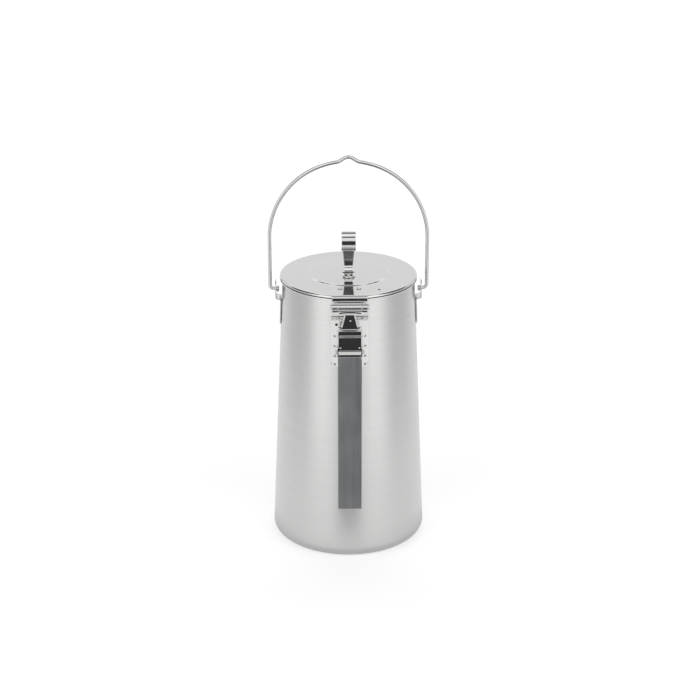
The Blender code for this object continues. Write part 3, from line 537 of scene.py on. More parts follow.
def spoutSurface(inset):
    # Rows run from the point up to the lip and columns round the beak. Half width and reach
    # grow as powers of the height, and the nose is a cosine raised to a power.
    s = spout
    top = vessel["height"] - s["drop"]
    share = np.linspace(0.0, 1.0, s["rows"])[:, None]
    turn = np.radians(np.linspace(-90, 90, s["columns"]))[None, :]
    nose = np.cos(turn) ** s["nose"]
    z = top - s["height"] * (1 - share) + s["tipRise"] * share**2 * nose
    half = s["point"] + (s["halfWidth"] - s["point"]) * share ** s["side"]
    reach = s["point"] + (s["reach"] - s["point"]) * share ** s["keel"]
    x = (half - inset) * np.sin(turn)
    y = np.sqrt((wallRadius(z) + fitGap) ** 2 - x**2) + (reach - inset) * nose
    return np.stack([x, y, z + 0.0 * x], axis=2)


outer, inner = spoutSurface(0.0), spoutSurface(spout["sheet"])
addSkin("spoutBeak", outer, inner, None, satinSteel, "root", "satin_steel", ["spout"])
lipLine = (outer[-1] + inner[-1])[2:-2] / 2
addTube("spoutLip", tubeGrid(lipLine, spout["lip"]), polishedSteel, "root", "polished_steel")
seamLine = np.concatenate([outer[::-1, 0], outer[:, -1]])[::2]
addTube("spoutSeam", tubeGrid(seamLine, spout["seam"]), satinSteel, "root", "satin_steel")


# Lid: a pressed disc with a raised middle and a turned-down lip

print("lid, leaf and knob")
lidHigh = boxOf("lid")[1]
lidRise = 1.0 * mm
lid = {
    "radius": lidHigh[0], "top": lidHigh[2] - lidRise, "sheet": 0.7 * mm, "lip": 3.6 * mm,
    "edge": 2.2 * mm, "edgeEnd": 10.0, "edgeInset": 0.05 * mm, "edgeFlat": 0.4 * mm,
    "crease": 0.8 * mm, "creaseDepth": 0.45 * mm, "bulge": 0.3 * mm, "corner": 1.6 * mm,
    "plateau": 31.5 * mm, "slope": 2.3 * mm, "steps": 320,
    "vent": 1.1 * mm, "ventPlace": (23.0 * mm, -39.0 * mm), "punch": 6.0 * mm,
    # the band of painted shade in the crease: how far it goes into the lid, and how far inside the side it
    # ends
    "bandRoot": 0.05 * mm, "bandInset": 0.17 * mm,
}


def creaseHeights():
    # the crease under the lid's edge, from the end of the edge's arc down
    high = lid["top"] - lid["edge"] * (1 - math.sin(math.radians(lid["edgeEnd"])))
    return high - lid["crease"], high


def lidProfile():
    # Top from the middle outwards with an S-shaped step, round the edge, into the crease, over
    # the hem, which is half an ellipse, and back underneath.
    d = lid
    step = np.linspace(0.0, 1.0, 17)
    radius = d["plateau"] - d["slope"] / 2 + d["slope"] * step
    height = d["top"] + lidRise * (1.0 - smoothStep(0.0, 1.0, step))
    edge = (d["radius"] - d["edge"] - d["edgeInset"], d["top"] - d["edge"])
    low, high = creaseHeights()
    foot = d["top"] - d["lip"]
    inner = d["radius"] - d["creaseDepth"]
    turn = np.radians(np.linspace(90.0, -90.0, 19))
    hemRadius = d["radius"] - d["bulge"] * (1 - np.cos(turn))
    hemHeight = (low + foot) / 2 + (low - foot) / 2 * np.sin(turn)
    top = np.concatenate([
        [[0.0, d["top"] + lidRise]], np.stack([radius, height], axis=1),
        [[edge[0] - d["edgeFlat"], d["top"]]],
    ])
    below = (d["radius"] - d["sheet"] - d["corner"], d["top"] - d["sheet"] - d["corner"])
    return np.concatenate([
        top,
        arcPoints(edge, d["edge"], 90, d["edgeEnd"], 7.5),
        [[inner, high], [inner, low]],
        np.stack([hemRadius, hemHeight], axis=1),
        [[d["radius"] - d["sheet"], foot]],
        arcPoints(below, d["corner"], 0, 90, 15.0),
        (top - [0.0, d["sheet"]])[::-1],
    ])


def creaseShade():
    # painted shade: a dark ring of rectangular section that fills the crease
    low, high = creaseHeights()
    inside = lid["radius"] - lid["creaseDepth"] - lid["bandRoot"]
    outside = lid["radius"] - lid["bandInset"]
    return turnedGrid([[inside, low], [outside, low], [outside, high], [inside, high]], lid["steps"])


cover = addTurned(
    "lidCover", turnedGrid(lidProfile(), lid["steps"]), polishedSteel, "lid", "polished_steel", ["lid"])
# painted shade: a dark ring in the lid's crease
addPiece(
    "lidCrease", creaseShade(), gridFaces(4, lid["steps"], closeRows=True, closeColumns=True),
    darkWeld, "lid", "polished_steel",
)
cutHoles(cover, [(*lid["ventPlace"], lid["top"])], lid["vent"], lid["punch"], 2)

leafHigh = boxOf("lid_leaf")[1]
leaf = {
    "sheet": 0.9 * mm, "edge": 0.22 * mm, "bend": 1.8 * mm, "halfWidth": leafHigh[0], "knuckle": 9.1 * mm,
    "bore": 2.2 * mm, "wrap": 298.0, "notch": 0.4 * mm, "spacing": 0.25 * mm, "innerEnd": leafHigh[1],
}
roll = leaf["bore"] + leaf["sheet"] / 2


def leafPath():
    # flat on the lid, a bend over its edge, down to the pin and round it
    flat = lid["top"] + fitGap + leaf["sheet"] / 2
    bend = (lidPin[1] + roll + leaf["bend"], flat - leaf["bend"])
    return np.concatenate([
        [[leaf["innerEnd"], flat]],
        arcPoints(bend, leaf["bend"], 90, 180),
        arcPoints(lidPin[1:], roll, 0, -leaf["wrap"]),
    ])


def leafWidth(s, length):
    # full width on the lid, the knuckle's width once the strip nears the pin
    end = length - math.radians(leaf["wrap"]) * roll - roll - leaf["notch"]
    narrow = smoothStep(end - leaf["notch"], end, s)
    return leaf["halfWidth"] + (leaf["knuckle"] - leaf["halfWidth"]) * narrow


grid = stripGrid(leafPath(), leafWidth, leaf)
addStrip("lidLeaf", grid, [0, 1, 2], polishedSteel, "lid", "polished_steel", ["lid_leaf"])

rivet = {
    "head": 2.0 * mm, "knobHead": 1.45 * mm, "dome": 0.8 * mm, "shank": 1.2 * mm,
    "tail": 1.7 * mm, "tailHeight": 0.5 * mm, "tailEdge": 0.15 * mm,
}


def addRivet(name, node, head):
    # a dome that is part of an ellipse, a shank and a flat tail with a bevelled edge
    low, high = boxOf(node)
    headFoot, tailTop, tail = high[2] - rivet["dome"], low[2] + rivet["tailHeight"], low[2]
    dome = np.radians(np.linspace(0.0, 90.0, 12))
    profile = np.concatenate([
        np.stack([head * np.sin(dome), headFoot + rivet["dome"] * np.cos(dome)], axis=1),
        [[rivet["shank"], headFoot], [rivet["shank"], tailTop], [rivet["tail"], tailTop]],
        [[rivet["tail"], tail + rivet["tailEdge"]], [rivet["tail"] - rivet["tailEdge"], tail], [0.0, tail]],
    ])
    grid = turnedGrid(profile, fine["roundSteps"]) + (low + high) / 2 * [1.0, 1.0, 0.0]
    addTurned(name, grid, polishedSteel, "lid", "polished_steel", [node])


addRivet("leafRivetLeft", "leaf_rivet_left", rivet["head"])
addRivet("leafRivetRight", "leaf_rivet_right", rivet["head"])
addRivet("knobRivet", "knob_rivet", rivet["knobHead"])

knobLow, knobHigh = boxOf("knob_strap")
knob = {
    "sheet": 1.2 * mm, "edge": 0.3 * mm, "curl": 4.2 * mm, "curlHeight": 8.0 * mm, "lean": 2.0,
    "wrap": 300.0, "stemY": -5.5 * mm, "foot": 10.5 * mm, "bend": 6.5 * mm, "topHalf": 5.6 * mm,
    "waistHalf": 3.3 * mm, "footHalf": 5.2 * mm, "waistHeight": 3.0 * mm, "spacing": 0.2 * mm,
}


def knobPath():
    # foot on the lid, a wide bend up, the stem and an oval curl towards the side handle
    base = knobLow[2] + knob["sheet"] / 2
    radius = knob["curl"] - knob["sheet"] / 2
    height = knob["curlHeight"] - knob["sheet"] / 2
    curl = arcPoints((0.0, 0.0), 1.0, 0, knob["wrap"]) * [radius, height]
    bend = (knob["stemY"] - knob["bend"], base + knob["bend"])
    curlZ = knobHigh[2] - knob["curlHeight"]
    curlY = knob["stemY"] - math.tan(math.radians(knob["lean"])) * (curlZ - bend[1]) - radius
    return np.concatenate([
        [[knob["stemY"] - knob["foot"], base]],
        arcPoints(bend, knob["bend"], -90, knob["lean"]),
        curl + [curlY, curlZ],
    ])


def knobWidth(s, length):
    # half a circle at the foot's end, a narrow waist, and wider again up to the curl
    k = knob
    rise = s - k["foot"] + k["bend"] * (2 - math.pi / 2)
    stem = knobHigh[2] - knobLow[2] - k["curl"]
    near = np.minimum(s, k["footHalf"]) / k["footHalf"]
    end = k["footHalf"] * np.sqrt(np.clip(1 - (1 - near) ** 2, 0, 1))
    up = np.clip((rise - k["waistHeight"]) / (stem - k["curl"] - k["waistHeight"]), 0, 1)
    foot = 1 - smoothStep(0.0, k["waistHeight"] / 2, rise)
    body = k["waistHalf"] + (k["footHalf"] - k["waistHalf"]) * foot + (k["topHalf"] - k["waistHalf"]) * up
    return np.minimum(body, np.where(s < k["footHalf"], end, np.inf))


grid = stripGrid(knobPath(), knobWidth, knob)
addStrip("knobStrap", grid, [0, 1, 2], buffedSteel, "lid", "polished_steel", ["knob_strap"])


# Hinge bracket: a pressed hat section, with knuckles for the lid and cheeks for the handle

print("hinge bracket, pins and side handle")
bracket = {
    "sheet": 0.8 * mm, "halfWidth": boxOf("hinge_bracket")[1][0], "corner": 2.2 * mm, "topArch": 0.6 * mm,
    "channel": 9.3 * mm, "ramp": 0.5 * mm, "panelFace": 2.4 * mm, "panelHeight": 12.3 * mm,
    "shoulder": 7.9 * mm, "steps": ((0.3 * mm, 1.3 * mm), (4.7 * mm, 5.8 * mm)), "stepShare": 0.5,
    "straight": 0.45, "neckRise": 1.9 * mm, "neckLift": 0.3 * mm, "neckDrop": 3.7 * mm,
    "neckEnd": 0.8 * mm, "neckFoot": 6.0 * mm, "neckTop": 3.6 * mm, "lean": 0.5,
    "cheekDrop": 3.4 * mm, "flare": 0.5 * mm, "flareLength": 1.2 * mm, "flat": 4.3 * mm,
    "blend": 6.0 * mm, "fillet": 0.35 * mm, "eye": 2.7 * mm, "eyeGap": 0.35 * mm,
    "topDrop": 3.7 * mm, "bottomDrop": 13.2 * mm, "columnStep": 0.16 * mm, "rowStep": 0.3 * mm,
    "sliver": 0.02 * mm, "endShare": 8,  # the arch and the corners fade over one part in eight
}


def bracketPlaces():
    # heights on the bracket, and the half width of the open channel
    b = bracket
    pin = handlePin[2]
    top = lidPin[2] - b["topDrop"]
    return {
        "bottom": pin - b["bottomDrop"], "cheek": pin - b["cheekDrop"],
        "notch": pin + b["eye"] + b["eyeGap"], "panelTop": pin + b["panelHeight"],
        "neckFoot": pin + b["panelHeight"] + b["shoulder"],
        "neckTop": top - b["neckDrop"], "flatFoot": top - b["flat"], "top": top,
        "inside": b["channel"] + b["flare"] - b["sheet"],
    }


def linesThrough(marks, step):
    # evenly spaced values that also pass through each mark
    pieces = [
        np.linspace(a, b, max(2, int(math.ceil((b - a) / step)) + 1))[:-1]
        for a, b in zip(marks[:-1], marks[1:])
    ]
    return np.concatenate(pieces + [[marks[-1]]])


def bracketSurface(x, z, inner):
    # Outwards from the wall: the flange follows the wall's circle and goes over to a flat under
    # the knuckles. The channel adds to it inside a half width that narrows up the shoulder and
    # the neck, with a smooth step as its side wall; its front goes in two smooth steps from the
    # panel to a straight line up the neck.
    b = bracket
    at = bracketPlaces()
    slim, depth = (b["sheet"], 0.0) if inner else (0.0, b["sheet"])
    narrowing = smoothStep(at["panelTop"] + b["shoulder"] * b["straight"], at["neckFoot"], z)
    upNeck = (z - at["neckFoot"]) / (at["neckTop"] - at["neckFoot"])
    flareFoot = at["notch"] + fitGap
    half = (
        b["channel"] + b["flare"] * (1 - smoothStep(flareFoot, flareFoot + b["flareLength"], z))
        + (b["neckFoot"] - b["channel"]) * narrowing
        + (b["neckTop"] - b["neckFoot"]) * np.clip(upNeck, 0, 1) - slim
    )
    radius = wallRadius(z) + fitGap
    flat = -lidPin[1] - roll - b["sheet"] / 2 + b["lean"] * np.maximum(z - at["flatFoot"], 0.0)
    flatten = smoothStep(at["flatFoot"] - b["blend"], at["flatFoot"], z)
    flange = (1 - flatten) * np.sqrt(radius**2 - x**2) + flatten * flat
    panel = -handlePin[1] + b["panelFace"]
    fade = 1 - smoothStep(at["neckTop"] - b["neckEnd"], at["neckTop"], z)
    neckLow = wallRadius(at["neckFoot"]) + fitGap + b["sheet"] + b["neckRise"]
    neckHigh = -lidPin[1] - roll + b["sheet"] / 2 + b["neckLift"]
    neck = neckLow + (neckHigh - neckLow) * upNeck
    lower, upper = (
        smoothStep(at["panelTop"] + start, at["panelTop"] + end, z) for start, end in b["steps"]
    )
    face = panel + (neck - panel) * (b["stepShare"] * lower + (1 - b["stepShare"]) * upper)
    raised = 1 - smoothStep(half - b["fillet"], half + b["ramp"], np.abs(x))
    kept = np.where((z < at["cheek"]) & (np.abs(x) > at["inside"] - fine["tiny"]), 0.0, 1.0)
    return flange + depth + raised * kept * fade * (face - b["sheet"] - flange)


def bracketLevel(x, z):
    # rounded lower corners and a slight arch along the top edge
    b = bracket
    at = bracketPlaces()
    corner = np.clip(np.abs(x) - (b["halfWidth"] - b["corner"]), 0.0, b["corner"])
    lift = b["corner"] - np.sqrt(b["corner"] ** 2 - corner**2)
    drop = b["topArch"] * np.minimum(1.0, np.abs(x) / leaf["knuckle"]) ** 2
    share = (z - at["bottom"]) / (at["top"] - at["bottom"]) * b["endShare"]
    return z + lift * np.clip(1 - share, 0, 1) - drop * np.clip(share - (b["endShare"] - 1), 0, 1)


def bracketGrids():
    # front and back of the sheet, and which quads are left beside the handle's open channel
    b = bracket
    at = bracketPlaces()
    cheek = at["cheek"]
    rows = linesThrough(
        [at["bottom"], cheek - b["sliver"], cheek, at["notch"], at["panelTop"], at["top"]], b["rowStep"])
    side = b["channel"] + b["flare"] + b["ramp"]
    half = linesThrough([0.0, at["inside"], side, b["halfWidth"]], b["columnStep"])
    columns = np.concatenate([-half[:0:-1], half])
    z, x = np.meshgrid(rows, columns, indexing="ij")
    level = bracketLevel(x, z)
    front, back = (np.stack([x, -bracketSurface(x, z, inner), level], axis=2) for inner in (False, True))
    middleX = np.abs(columns[1:] + columns[:-1]) / 2
    middleZ = (rows[1:] + rows[:-1]) / 2
    return front, back, (middleZ[:, None] >= at["notch"]) | (middleX[None, :] >= at["inside"])


addSkin("hingeBracket", *bracketGrids(), polishedSteel, "root", "polished_steel", ["hinge_bracket"])

knuckle = {**leaf, "sheet": 0.88 * mm, "sideGap": 0.4 * mm}


def knuckleGrid(side):
    # an outer knuckle: up from the bracket's flat and round the pin, away from the vessel
    path = np.concatenate([
        [[lidPin[1] + roll, bracketPlaces()["flatFoot"] + fitGap]],
        arcPoints(lidPin[1:], roll, 0, leaf["wrap"]),
    ])
    inside = leaf["knuckle"] + knuckle["sideGap"]
    half = (leaf["halfWidth"] - inside) / 2
    return stripGrid(path, lambda s, length: half, knuckle, side * (inside + half))


for side, name in ((-1, "knuckleLeft"), (1, "knuckleRight")):
    addStrip(name, knuckleGrid(side), [0, 1, 2], polishedSteel, "root", "polished_steel")

pins = {
    # each pin's node, its radius, its head's thickness and radius, and its axis
    "lidHingePin": ("lid_pin", 1.85 * mm, 1.1 * mm, 2.6 * mm, lidPin),
    "handleHingePin": ("handle_pin", 1.2 * mm, 0.9 * mm, 1.9 * mm, handlePin),
}
headStraight = 0.45  # the straight part of a pin's head, as a share of its thickness


def pinGrid(node, radius, head, headRadius, place):
    # a turned pin laid along X, with a shallow dome on each head
    end = boxOf(node)[1][0]
    face = end - head
    turn = np.radians(np.linspace(90.0, 0.0, 8))
    height = face + head * (headStraight + (1 - headStraight) * np.sin(turn))
    dome = np.stack([headRadius * np.cos(turn), height], axis=1)
    half = np.concatenate([[[0.0, end]], dome, [[headRadius, face], [radius, face]]])
    grid = turnedGrid(np.concatenate([half, half[::-1] * [1, -1]]), fine["roundSteps"])
    return grid[..., [2, 0, 1]] + [0.0, place[1], place[2]]


for name, pin in pins.items():
    addTurned(name, pinGrid(*pin), polishedSteel, "root", "polished_steel", [pin[0]])

handleLow, handleHigh = boxOf("handle_strip")
handle = {
    "sheet": 1.2 * mm, "edge": 0.16 * mm, "pin": 1.5 * mm, "wrap": 255.0, "halfWidth": handleHigh[0],
    "eyeHalf": 8.6 * mm, "notch": 5.0 * mm, "notchEnd": 0.3 * mm, "joggle": 0.2 * mm,
    "joggleLength": 3.5 * mm, "eyeTurn": 140.0, "eyeSteep": 45.0, "eyeDrop": 1.1 * mm,
    "eyeLean": 12.0, "eyeFlat": 1.7 * mm, "eyeFoot": 1.7 * mm, "recess": 0.25 * mm,
    "start": 3.15 * mm, "wallGap": 0.4 * mm, "spacing": 0.5 * mm,
}


def eyePath():
    # from the eye's open end round the pin, down a steep and a slightly leaning flat, and in
    # again to an upright foot
    h = handle
    radius = h["pin"] + h["sheet"] / 2
    arc = arcPoints(handlePin[1:], radius, 180 - h["wrap"], h["eyeTurn"])
    steep, lean = math.radians(h["eyeSteep"]), math.radians(h["eyeLean"])
    upper = arc[-1] - h["eyeDrop"] * np.array([math.sin(steep), math.cos(steep)])
    lower = upper - h["eyeFlat"] * np.array([math.sin(lean), math.cos(lean)])
    footY, footZ = handlePin[1] - radius + h["recess"], handlePin[2] - h["start"]
    return np.concatenate([arc, [upper, lower, [footY, footZ + h["eyeFoot"]], [footY, footZ]]])


def handlePath():
    # from behind the eye's flat down to the free end
    h = handle
    endZ = handleLow[2]
    endY = -(wallRadius(endZ) + h["wallGap"] + h["sheet"] / 2)
    front = handlePin[1] - h["pin"] - h["sheet"] / 2
    return np.array([
        [front + h["recess"], handlePin[2] - h["start"]],
        [front + h["joggle"], handlePin[2] - h["joggleLength"]],
        [endY, endZ],
    ])


def handleWidth(s, length):
    # the eye's width down to the notch below the pin, then the strip's full width
    start = handle["notch"] - handle["start"]
    widening = smoothStep(start, start + handle["notchEnd"], s)
    return handle["eyeHalf"] + (handle["halfWidth"] - handle["eyeHalf"]) * widening


grid = stripGrid(handlePath(), handleWidth, handle)
addStrip("sideHandle", grid, [0, 1, 2], brushedSteel, "side_handle", "brushed_steel", ["handle_strip"])
grid = stripGrid(eyePath(), lambda s, length: handle["eyeHalf"], {**handle, "spacing": leaf["spacing"]})
addStrip("handleEye", grid, [0, 1, 2], polishedSteel, "side_handle", "brushed_steel")


# Stamps on the bracket's face: spot welds, pressed dots, and the small hole as a dark disc of painted
# shade; then lines of painted shade

stamp = {"foot": -0.1 * mm, "spot": 0.03 * mm, "sides": 28, "slopeStep": 0.05 * mm}
weld = {
    "radius": 1.0 * mm, "ring": 0.18 * mm, "ringStart": 0.4, "pit": 0.10 * mm, "pitEdge": (0.2, 0.7),
    "burnt": 1.1 * mm,
    "x": (-11.7 * mm, 12.0 * mm), "heights": (187.9 * mm, 179.8 * mm, 171.7 * mm, 165.0 * mm),
    "hole": (-10.2 * mm, 197.3 * mm), "holeRadius": 1.1 * mm,
    "upper": ((-7.9 * mm, 203.6 * mm), (9.6 * mm, 203.6 * mm)), "upperRadius": 0.6 * mm,
}


def onBracket(x, z):
    # a place on the bracket's front face and the outward normal there, by small differences
    x, z = np.asarray(x, float), np.asarray(z, float)
    step = stamp["slopeStep"]
    y = bracketSurface(x, z, False)
    slopeX = (bracketSurface(x + step, z, False) - bracketSurface(x - step, z, False)) / (2 * step)
    slopeZ = (bracketSurface(x, z + step, False) - bracketSurface(x, z - step, False)) / (2 * step)
    normal = np.stack([-slopeX, 0.0 * x - 1.0, -slopeZ], axis=-1)
    return np.stack([x, -y, z], axis=-1), unit(normal)


def addStamps(name, x, z, profile, material):
    # The same small profile (radius, height), closed underneath, is turned about the normal at
    # each place.
    places, normals = onBracket(x, z)
    side = unit(np.cross(normals, [0.0, 0.0, 1.0]))
    up = np.cross(side, normals)
    cos, sin = (values[None, :, None] for values in circle(stamp["sides"]))
    flat = side[:, None, :] * cos + up[:, None, :] * sin
    end = profile[-1][0]
    radius, height = np.concatenate([profile, [[end, stamp["foot"]], [0.0, stamp["foot"]]]]).T
    grid = (
        places[:, None, None, :] + radius[None, :, None, None] * flat[:, None, :, :]
        + height[None, :, None, None] * normals[:, None, None, :]
    )
    count, rows, columns = grid.shape[:3]
    one = gridFaces(rows, columns, closeColumns=True)
    faces = np.concatenate([one + k * rows * columns for k in range(count)])
    addPiece(name, grid, faces, material, "root", "polished_steel")


def craterProfile():
    # a raised ring, a squared sine of the radius, round a shallow pit with a smooth side
    w = weld
    share = np.linspace(0.0, 1.0, 14)
    across = np.clip((share - w["ringStart"]) / (1 - w["ringStart"]), 0, 1)
    height = w["ring"] * np.sin(np.pi * across) ** 2 + w["pit"] * smoothStep(*w["pitEdge"], share)
    return np.stack([share * w["radius"], height], axis=1)


def spotProfile(radius):
    return [[0.0, stamp["spot"]], [radius, stamp["spot"]]]


def domeProfile(radius, height):
    # a quarter of an ellipse
    turn = np.radians(np.linspace(0.0, 90.0, 8))
    return np.stack([radius * np.sin(turn), height * np.cos(turn)], axis=1)


weldX = np.repeat(weld["x"], len(weld["heights"]))
weldZ = np.tile(weld["heights"], 2)
addStamps("burntRings", weldX, weldZ, spotProfile(weld["burnt"]), darkWeld)
addStamps("bracketWelds", weldX, weldZ, craterProfile(), polishedSteel)
# painted shade: the small hole is a flat dark disc, not a cut hole
addStamps("flangeHole", *np.transpose([weld["hole"]]), spotProfile(weld["holeRadius"]), darkWeld)
addStamps("upperWelds", *np.transpose(weld["upper"]), spotProfile(weld["upperRadius"]), darkWeld)

seam = {
    # each dark line of painted shade, under the knuckles and under the ledge beside the neck: its two ends
    # in x, its height, how far its ends hang down and its breadth
    "lines": (
        (-8.2 * mm, 8.6 * mm, 208.8 * mm, 0.5 * mm, 1.3 * mm),
        (-9.0 * mm, -6.2 * mm, 195.3 * mm, 0.0, 0.5 * mm),
        (6.2 * mm, 9.0 * mm, 195.3 * mm, 0.0, 0.5 * mm),
    ),
    "proud": 0.06 * mm, "columns": 41, "rows": 5,
}


def shadeLineGrids(start, end, level, hang, breadth):
    # a band of painted shade that follows the bracket's face, its middle line hanging down as the square of
    # x
    x = np.linspace(start, end, seam["columns"])[None, :]
    across = np.linspace(-0.5, 0.5, seam["rows"])[:, None]
    z = level - hang * (x / max(abs(start), abs(end))) ** 2 + breadth * across
    place, normal = onBracket(x + 0.0 * z, z)
    place[..., 2] = bracketLevel(x, z)
    return place + seam["proud"] * normal, place - seam["proud"] * normal


# painted shade: dark bands under the knuckles and beside the neck
for index, line in enumerate(seam["lines"]):
    addSkin(f"bracketShadeLine{index + 1}", *shadeLineGrids(*line), None, darkWeld, "root", "polished_steel")

panelDots = {
    "x": (-7.3 * mm, 7.3 * mm, 0.5 * mm), "z": (180.5 * mm, 180.5 * mm, 201.4 * mm),
    "radius": 0.65 * mm, "height": 0.25 * mm,
}
dot = domeProfile(panelDots["radius"], panelDots["height"])
addStamps("panelDots", panelDots["x"], panelDots["z"], dot, polishedSteel)


# Ears and bail

print("ears and bail")
earLow, earHigh = boxOf("ear_right")
ear = {
    "sheet": 0.9 * mm, "edge": 0.42 * mm, "half": earHigh[1], "shelfDrop": 6.9 * mm, "bend": 1.6 * mm,
    "wallGap": 0.1 * mm, "hole": 1.9 * mm, "punch": 5.0 * mm, "spacing": 0.2 * mm,
    "upright": earHigh[0] - 0.6 * mm, "foot": earLow[2], "top": earHigh[2],  # on the CAD sheet's middle
}


def earPath():
    # leg up the wall, a short shelf outwards and the upright with the bail's hole
    e = ear
    shelf = bailPin[2] - e["shelfDrop"]
    away = e["wallGap"] + e["sheet"] / 2
    legX = wallRadius(shelf - e["bend"]) + away
    return np.concatenate([
        [[wallRadius(e["foot"]) + away, e["foot"]]],
        arcPoints((legX + e["bend"], shelf - e["bend"]), e["bend"], 180, 90, 5.0),
        arcPoints((e["upright"] - e["bend"], shelf + e["bend"]), e["bend"], -90, 0, 5.0),
        [[e["upright"], e["top"]]],
    ])


def earWidth(s, length):
    # half circles at both ends
    end = np.minimum(np.minimum(s, length - s) / ear["half"], 1.0)
    return ear["half"] * np.sqrt(np.clip(1.0 - (1.0 - end) ** 2, 0.0, 1.0))


for side, name, node in ((-1, "earLeft", "ear_left"), (1, "earRight", "ear_right")):
    grid = stripGrid(earPath(), earWidth, ear)
    grid[..., 1] *= side
    piece = addStrip(name, grid, [1, 0, 2], polishedSteel, "root", "polished_steel", [node])
    cutHoles(piece, [(side * ear["upright"], bailPin[1], bailPin[2])], ear["hole"], ear["punch"], 0)

bailHigh = boxOf("bail")[1]
wireRadius = 1.5 * mm
bail = {
    "span": bailHigh[0] - wireRadius, "apex": bailHigh[2] - wireRadius, "bend": 3.2 * mm,
    "humpRise": 3.4 * mm, "humpHalf": 9.0 * mm, "headFace": ear["upright"] - 0.95 * mm,
    "head": 1.7 * mm, "headFactor": 1.6, "headDome": 0.45, "headShoulder": 0.3 * mm,
    "headClear": 0.5 * mm, "stations": 560, "sides": 28,
}


def bailPath():
    # a half circle on two straight legs, with a cosine hump in the middle and turned-in feet
    w = bail
    centre = w["apex"] - w["humpRise"] - w["span"]
    near = np.linspace(0.0, w["humpHalf"], 40)
    bump = w["humpRise"] * (0.5 + 0.5 * np.cos(np.pi * near / w["humpHalf"]))
    hump = np.stack([near, centre + np.sqrt(w["span"] ** 2 - near**2) + bump], axis=1)
    start = math.degrees(math.acos(w["humpHalf"] / w["span"]))
    foot = (w["span"] - w["bend"], bailPin[2] + w["bend"])
    right = np.concatenate([
        hump, arcPoints((0.0, centre), w["span"], start, 0, 1.5)[1:],
        arcPoints(foot, w["bend"], 0, -90, 5.0), [[w["headFace"] - w["head"], bailPin[2]]],
    ])
    return np.concatenate([right[:0:-1] * [-1, 1], right])


def bailGrid():
    # a circle round each place of the path, larger over the upset heads, domed at the ends
    w = bail
    path = bailPath()
    length = pathLength(path)
    head, shoulder, big = w["head"], w["headShoulder"], wireRadius * w["headFactor"]
    share = np.linspace(0.0, 1.0, 7)
    ends = np.concatenate([
        head * 0.5 * share, head * (0.5 + 0.5 * share[1:]), head + shoulder * share[1:],
    ])
    clear = head + w["headClear"]
    middle = np.linspace(clear, length - clear, w["stations"])
    stations = np.concatenate([ends, middle, length - ends[::-1]])
    away = np.minimum(stations, length - stations)
    dome = np.sqrt(np.clip(1.0 - (1.0 - np.minimum(away / (0.5 * head), 1.0)) ** 2, 0.0, 1.0))
    radius = np.where(
        away < head, big * (1 - w["headDome"] + w["headDome"] * dome),
        big + (wireRadius - big) * smoothStep(head, head + shoulder, away),
    )[:, None]
    place, normal = alongPath(path, stations)
    cos, sin = circle(w["sides"])
    flat = place[:, None] + (radius * cos)[:, :, None] * normal[:, None]
    return np.stack([flat[..., 0], radius * sin + bailPin[1], flat[..., 1]], axis=2)


addTube("bailWire", bailGrid(), polishedSteel, "bail", "polished_steel", ["bail"])


# Stage: pale floor, studio light and camera

print("stage, light and camera")
stage = {
    "floorSize": 24.0, "floorZ": -0.1 * mm, "nearRadius": 0.45, "nearShift": 0.15, "nearSides": 96,
    "domeRadius": 11.0, "domeRows": 24, "domeColumns": 64, "domeRise": (-6.0, 89.0),
    "albedo": 0.8, "fill": 0.4, "cameraFill": 0.47,  # fill: the light added for mirrors and camera
    # painted shade on the mirrored floor: a patch before the handle and a ring round the base
    "shadeDepth": 0.75, "shadeX": (0.02, 0.07), "shadeY": (-0.17, -0.10),  # before the handle
    "ringDepth": 0.3, "ringReach": (0.066, 0.095),  # round the base
}


def stageObject(name, points, faces, material):
    mesh = bpy.data.meshes.new(name)
    mesh.from_pydata(points, [], faces)
    mesh.materials.append(material)
    thing = bpy.data.objects.new(name, mesh)
    bpy.context.scene.collection.objects.link(thing)
    return thing


def hideFrom(thing, *rays):
    for ray in rays:
        setattr(thing, f"visible_{ray}", False)


def floorMaterial(name, depth, ringDepth):
    # Matt white paper; camera, glossy and transmission rays see it lifted to the page's white.
    # Painted shade: it is darker by these depths in a soft-edged place before the handle, which the handle
    # mirrors, and in a ring beside the base.
    material, tree = newMaterial(name)
    tree.nodes.clear()
    coords = outputOf(tree, "TexCoord", {}, "Object")
    parts = addNode(tree, "SeparateXYZ", {0: coords}).outputs
    side = maths(tree, "ABSOLUTE", parts["X"])
    nearX = ranged(tree, side, *stage["shadeX"], 1.0, 0.0)
    nearY = ranged(tree, parts["Y"], *stage["shadeY"], 1.0, 0.0)
    shade = maths(tree, "MULTIPLY", nearX, nearY)
    kept = maths(tree, "MULTIPLY_ADD", shade, -depth, 1.0)
    away = outputOf(tree, "VectorMath", {0: coords}, "Value", operation="LENGTH")
    ring = ranged(tree, away, *stage["ringReach"], 1.0 - ringDepth)
    left = maths(tree, "MULTIPLY", kept, ring)
    colour = maths(tree, "MULTIPLY", left, stage["albedo"])
    paper = outputOf(tree, "BsdfDiffuse", {"Color": colour})
    path = addNode(tree, "LightPath", {}).outputs
    direct = maths(tree, "MULTIPLY", path["Is Camera Ray"], stage["cameraFill"])
    mirrored = maths(tree, "MAXIMUM", path["Is Glossy Ray"], path["Is Transmission Ray"])
    lift = maths(tree, "MULTIPLY_ADD", mirrored, stage["fill"], direct)
    strength = maths(tree, "MULTIPLY", lift, left)
    glow = outputOf(tree, "Emission", {"Strength": strength})
    both = outputOf(tree, "AddShader", {0: paper, 1: glow})
    addNode(tree, "OutputMaterial", {0: both})
    return material


def backdropMaterial():
    material, tree = newMaterial("whiteBackdrop")
    tree.nodes.clear()
    glow = outputOf(tree, "Emission", {"Strength": 1.0})
    addNode(tree, "OutputMaterial", {0: glow})
    return material


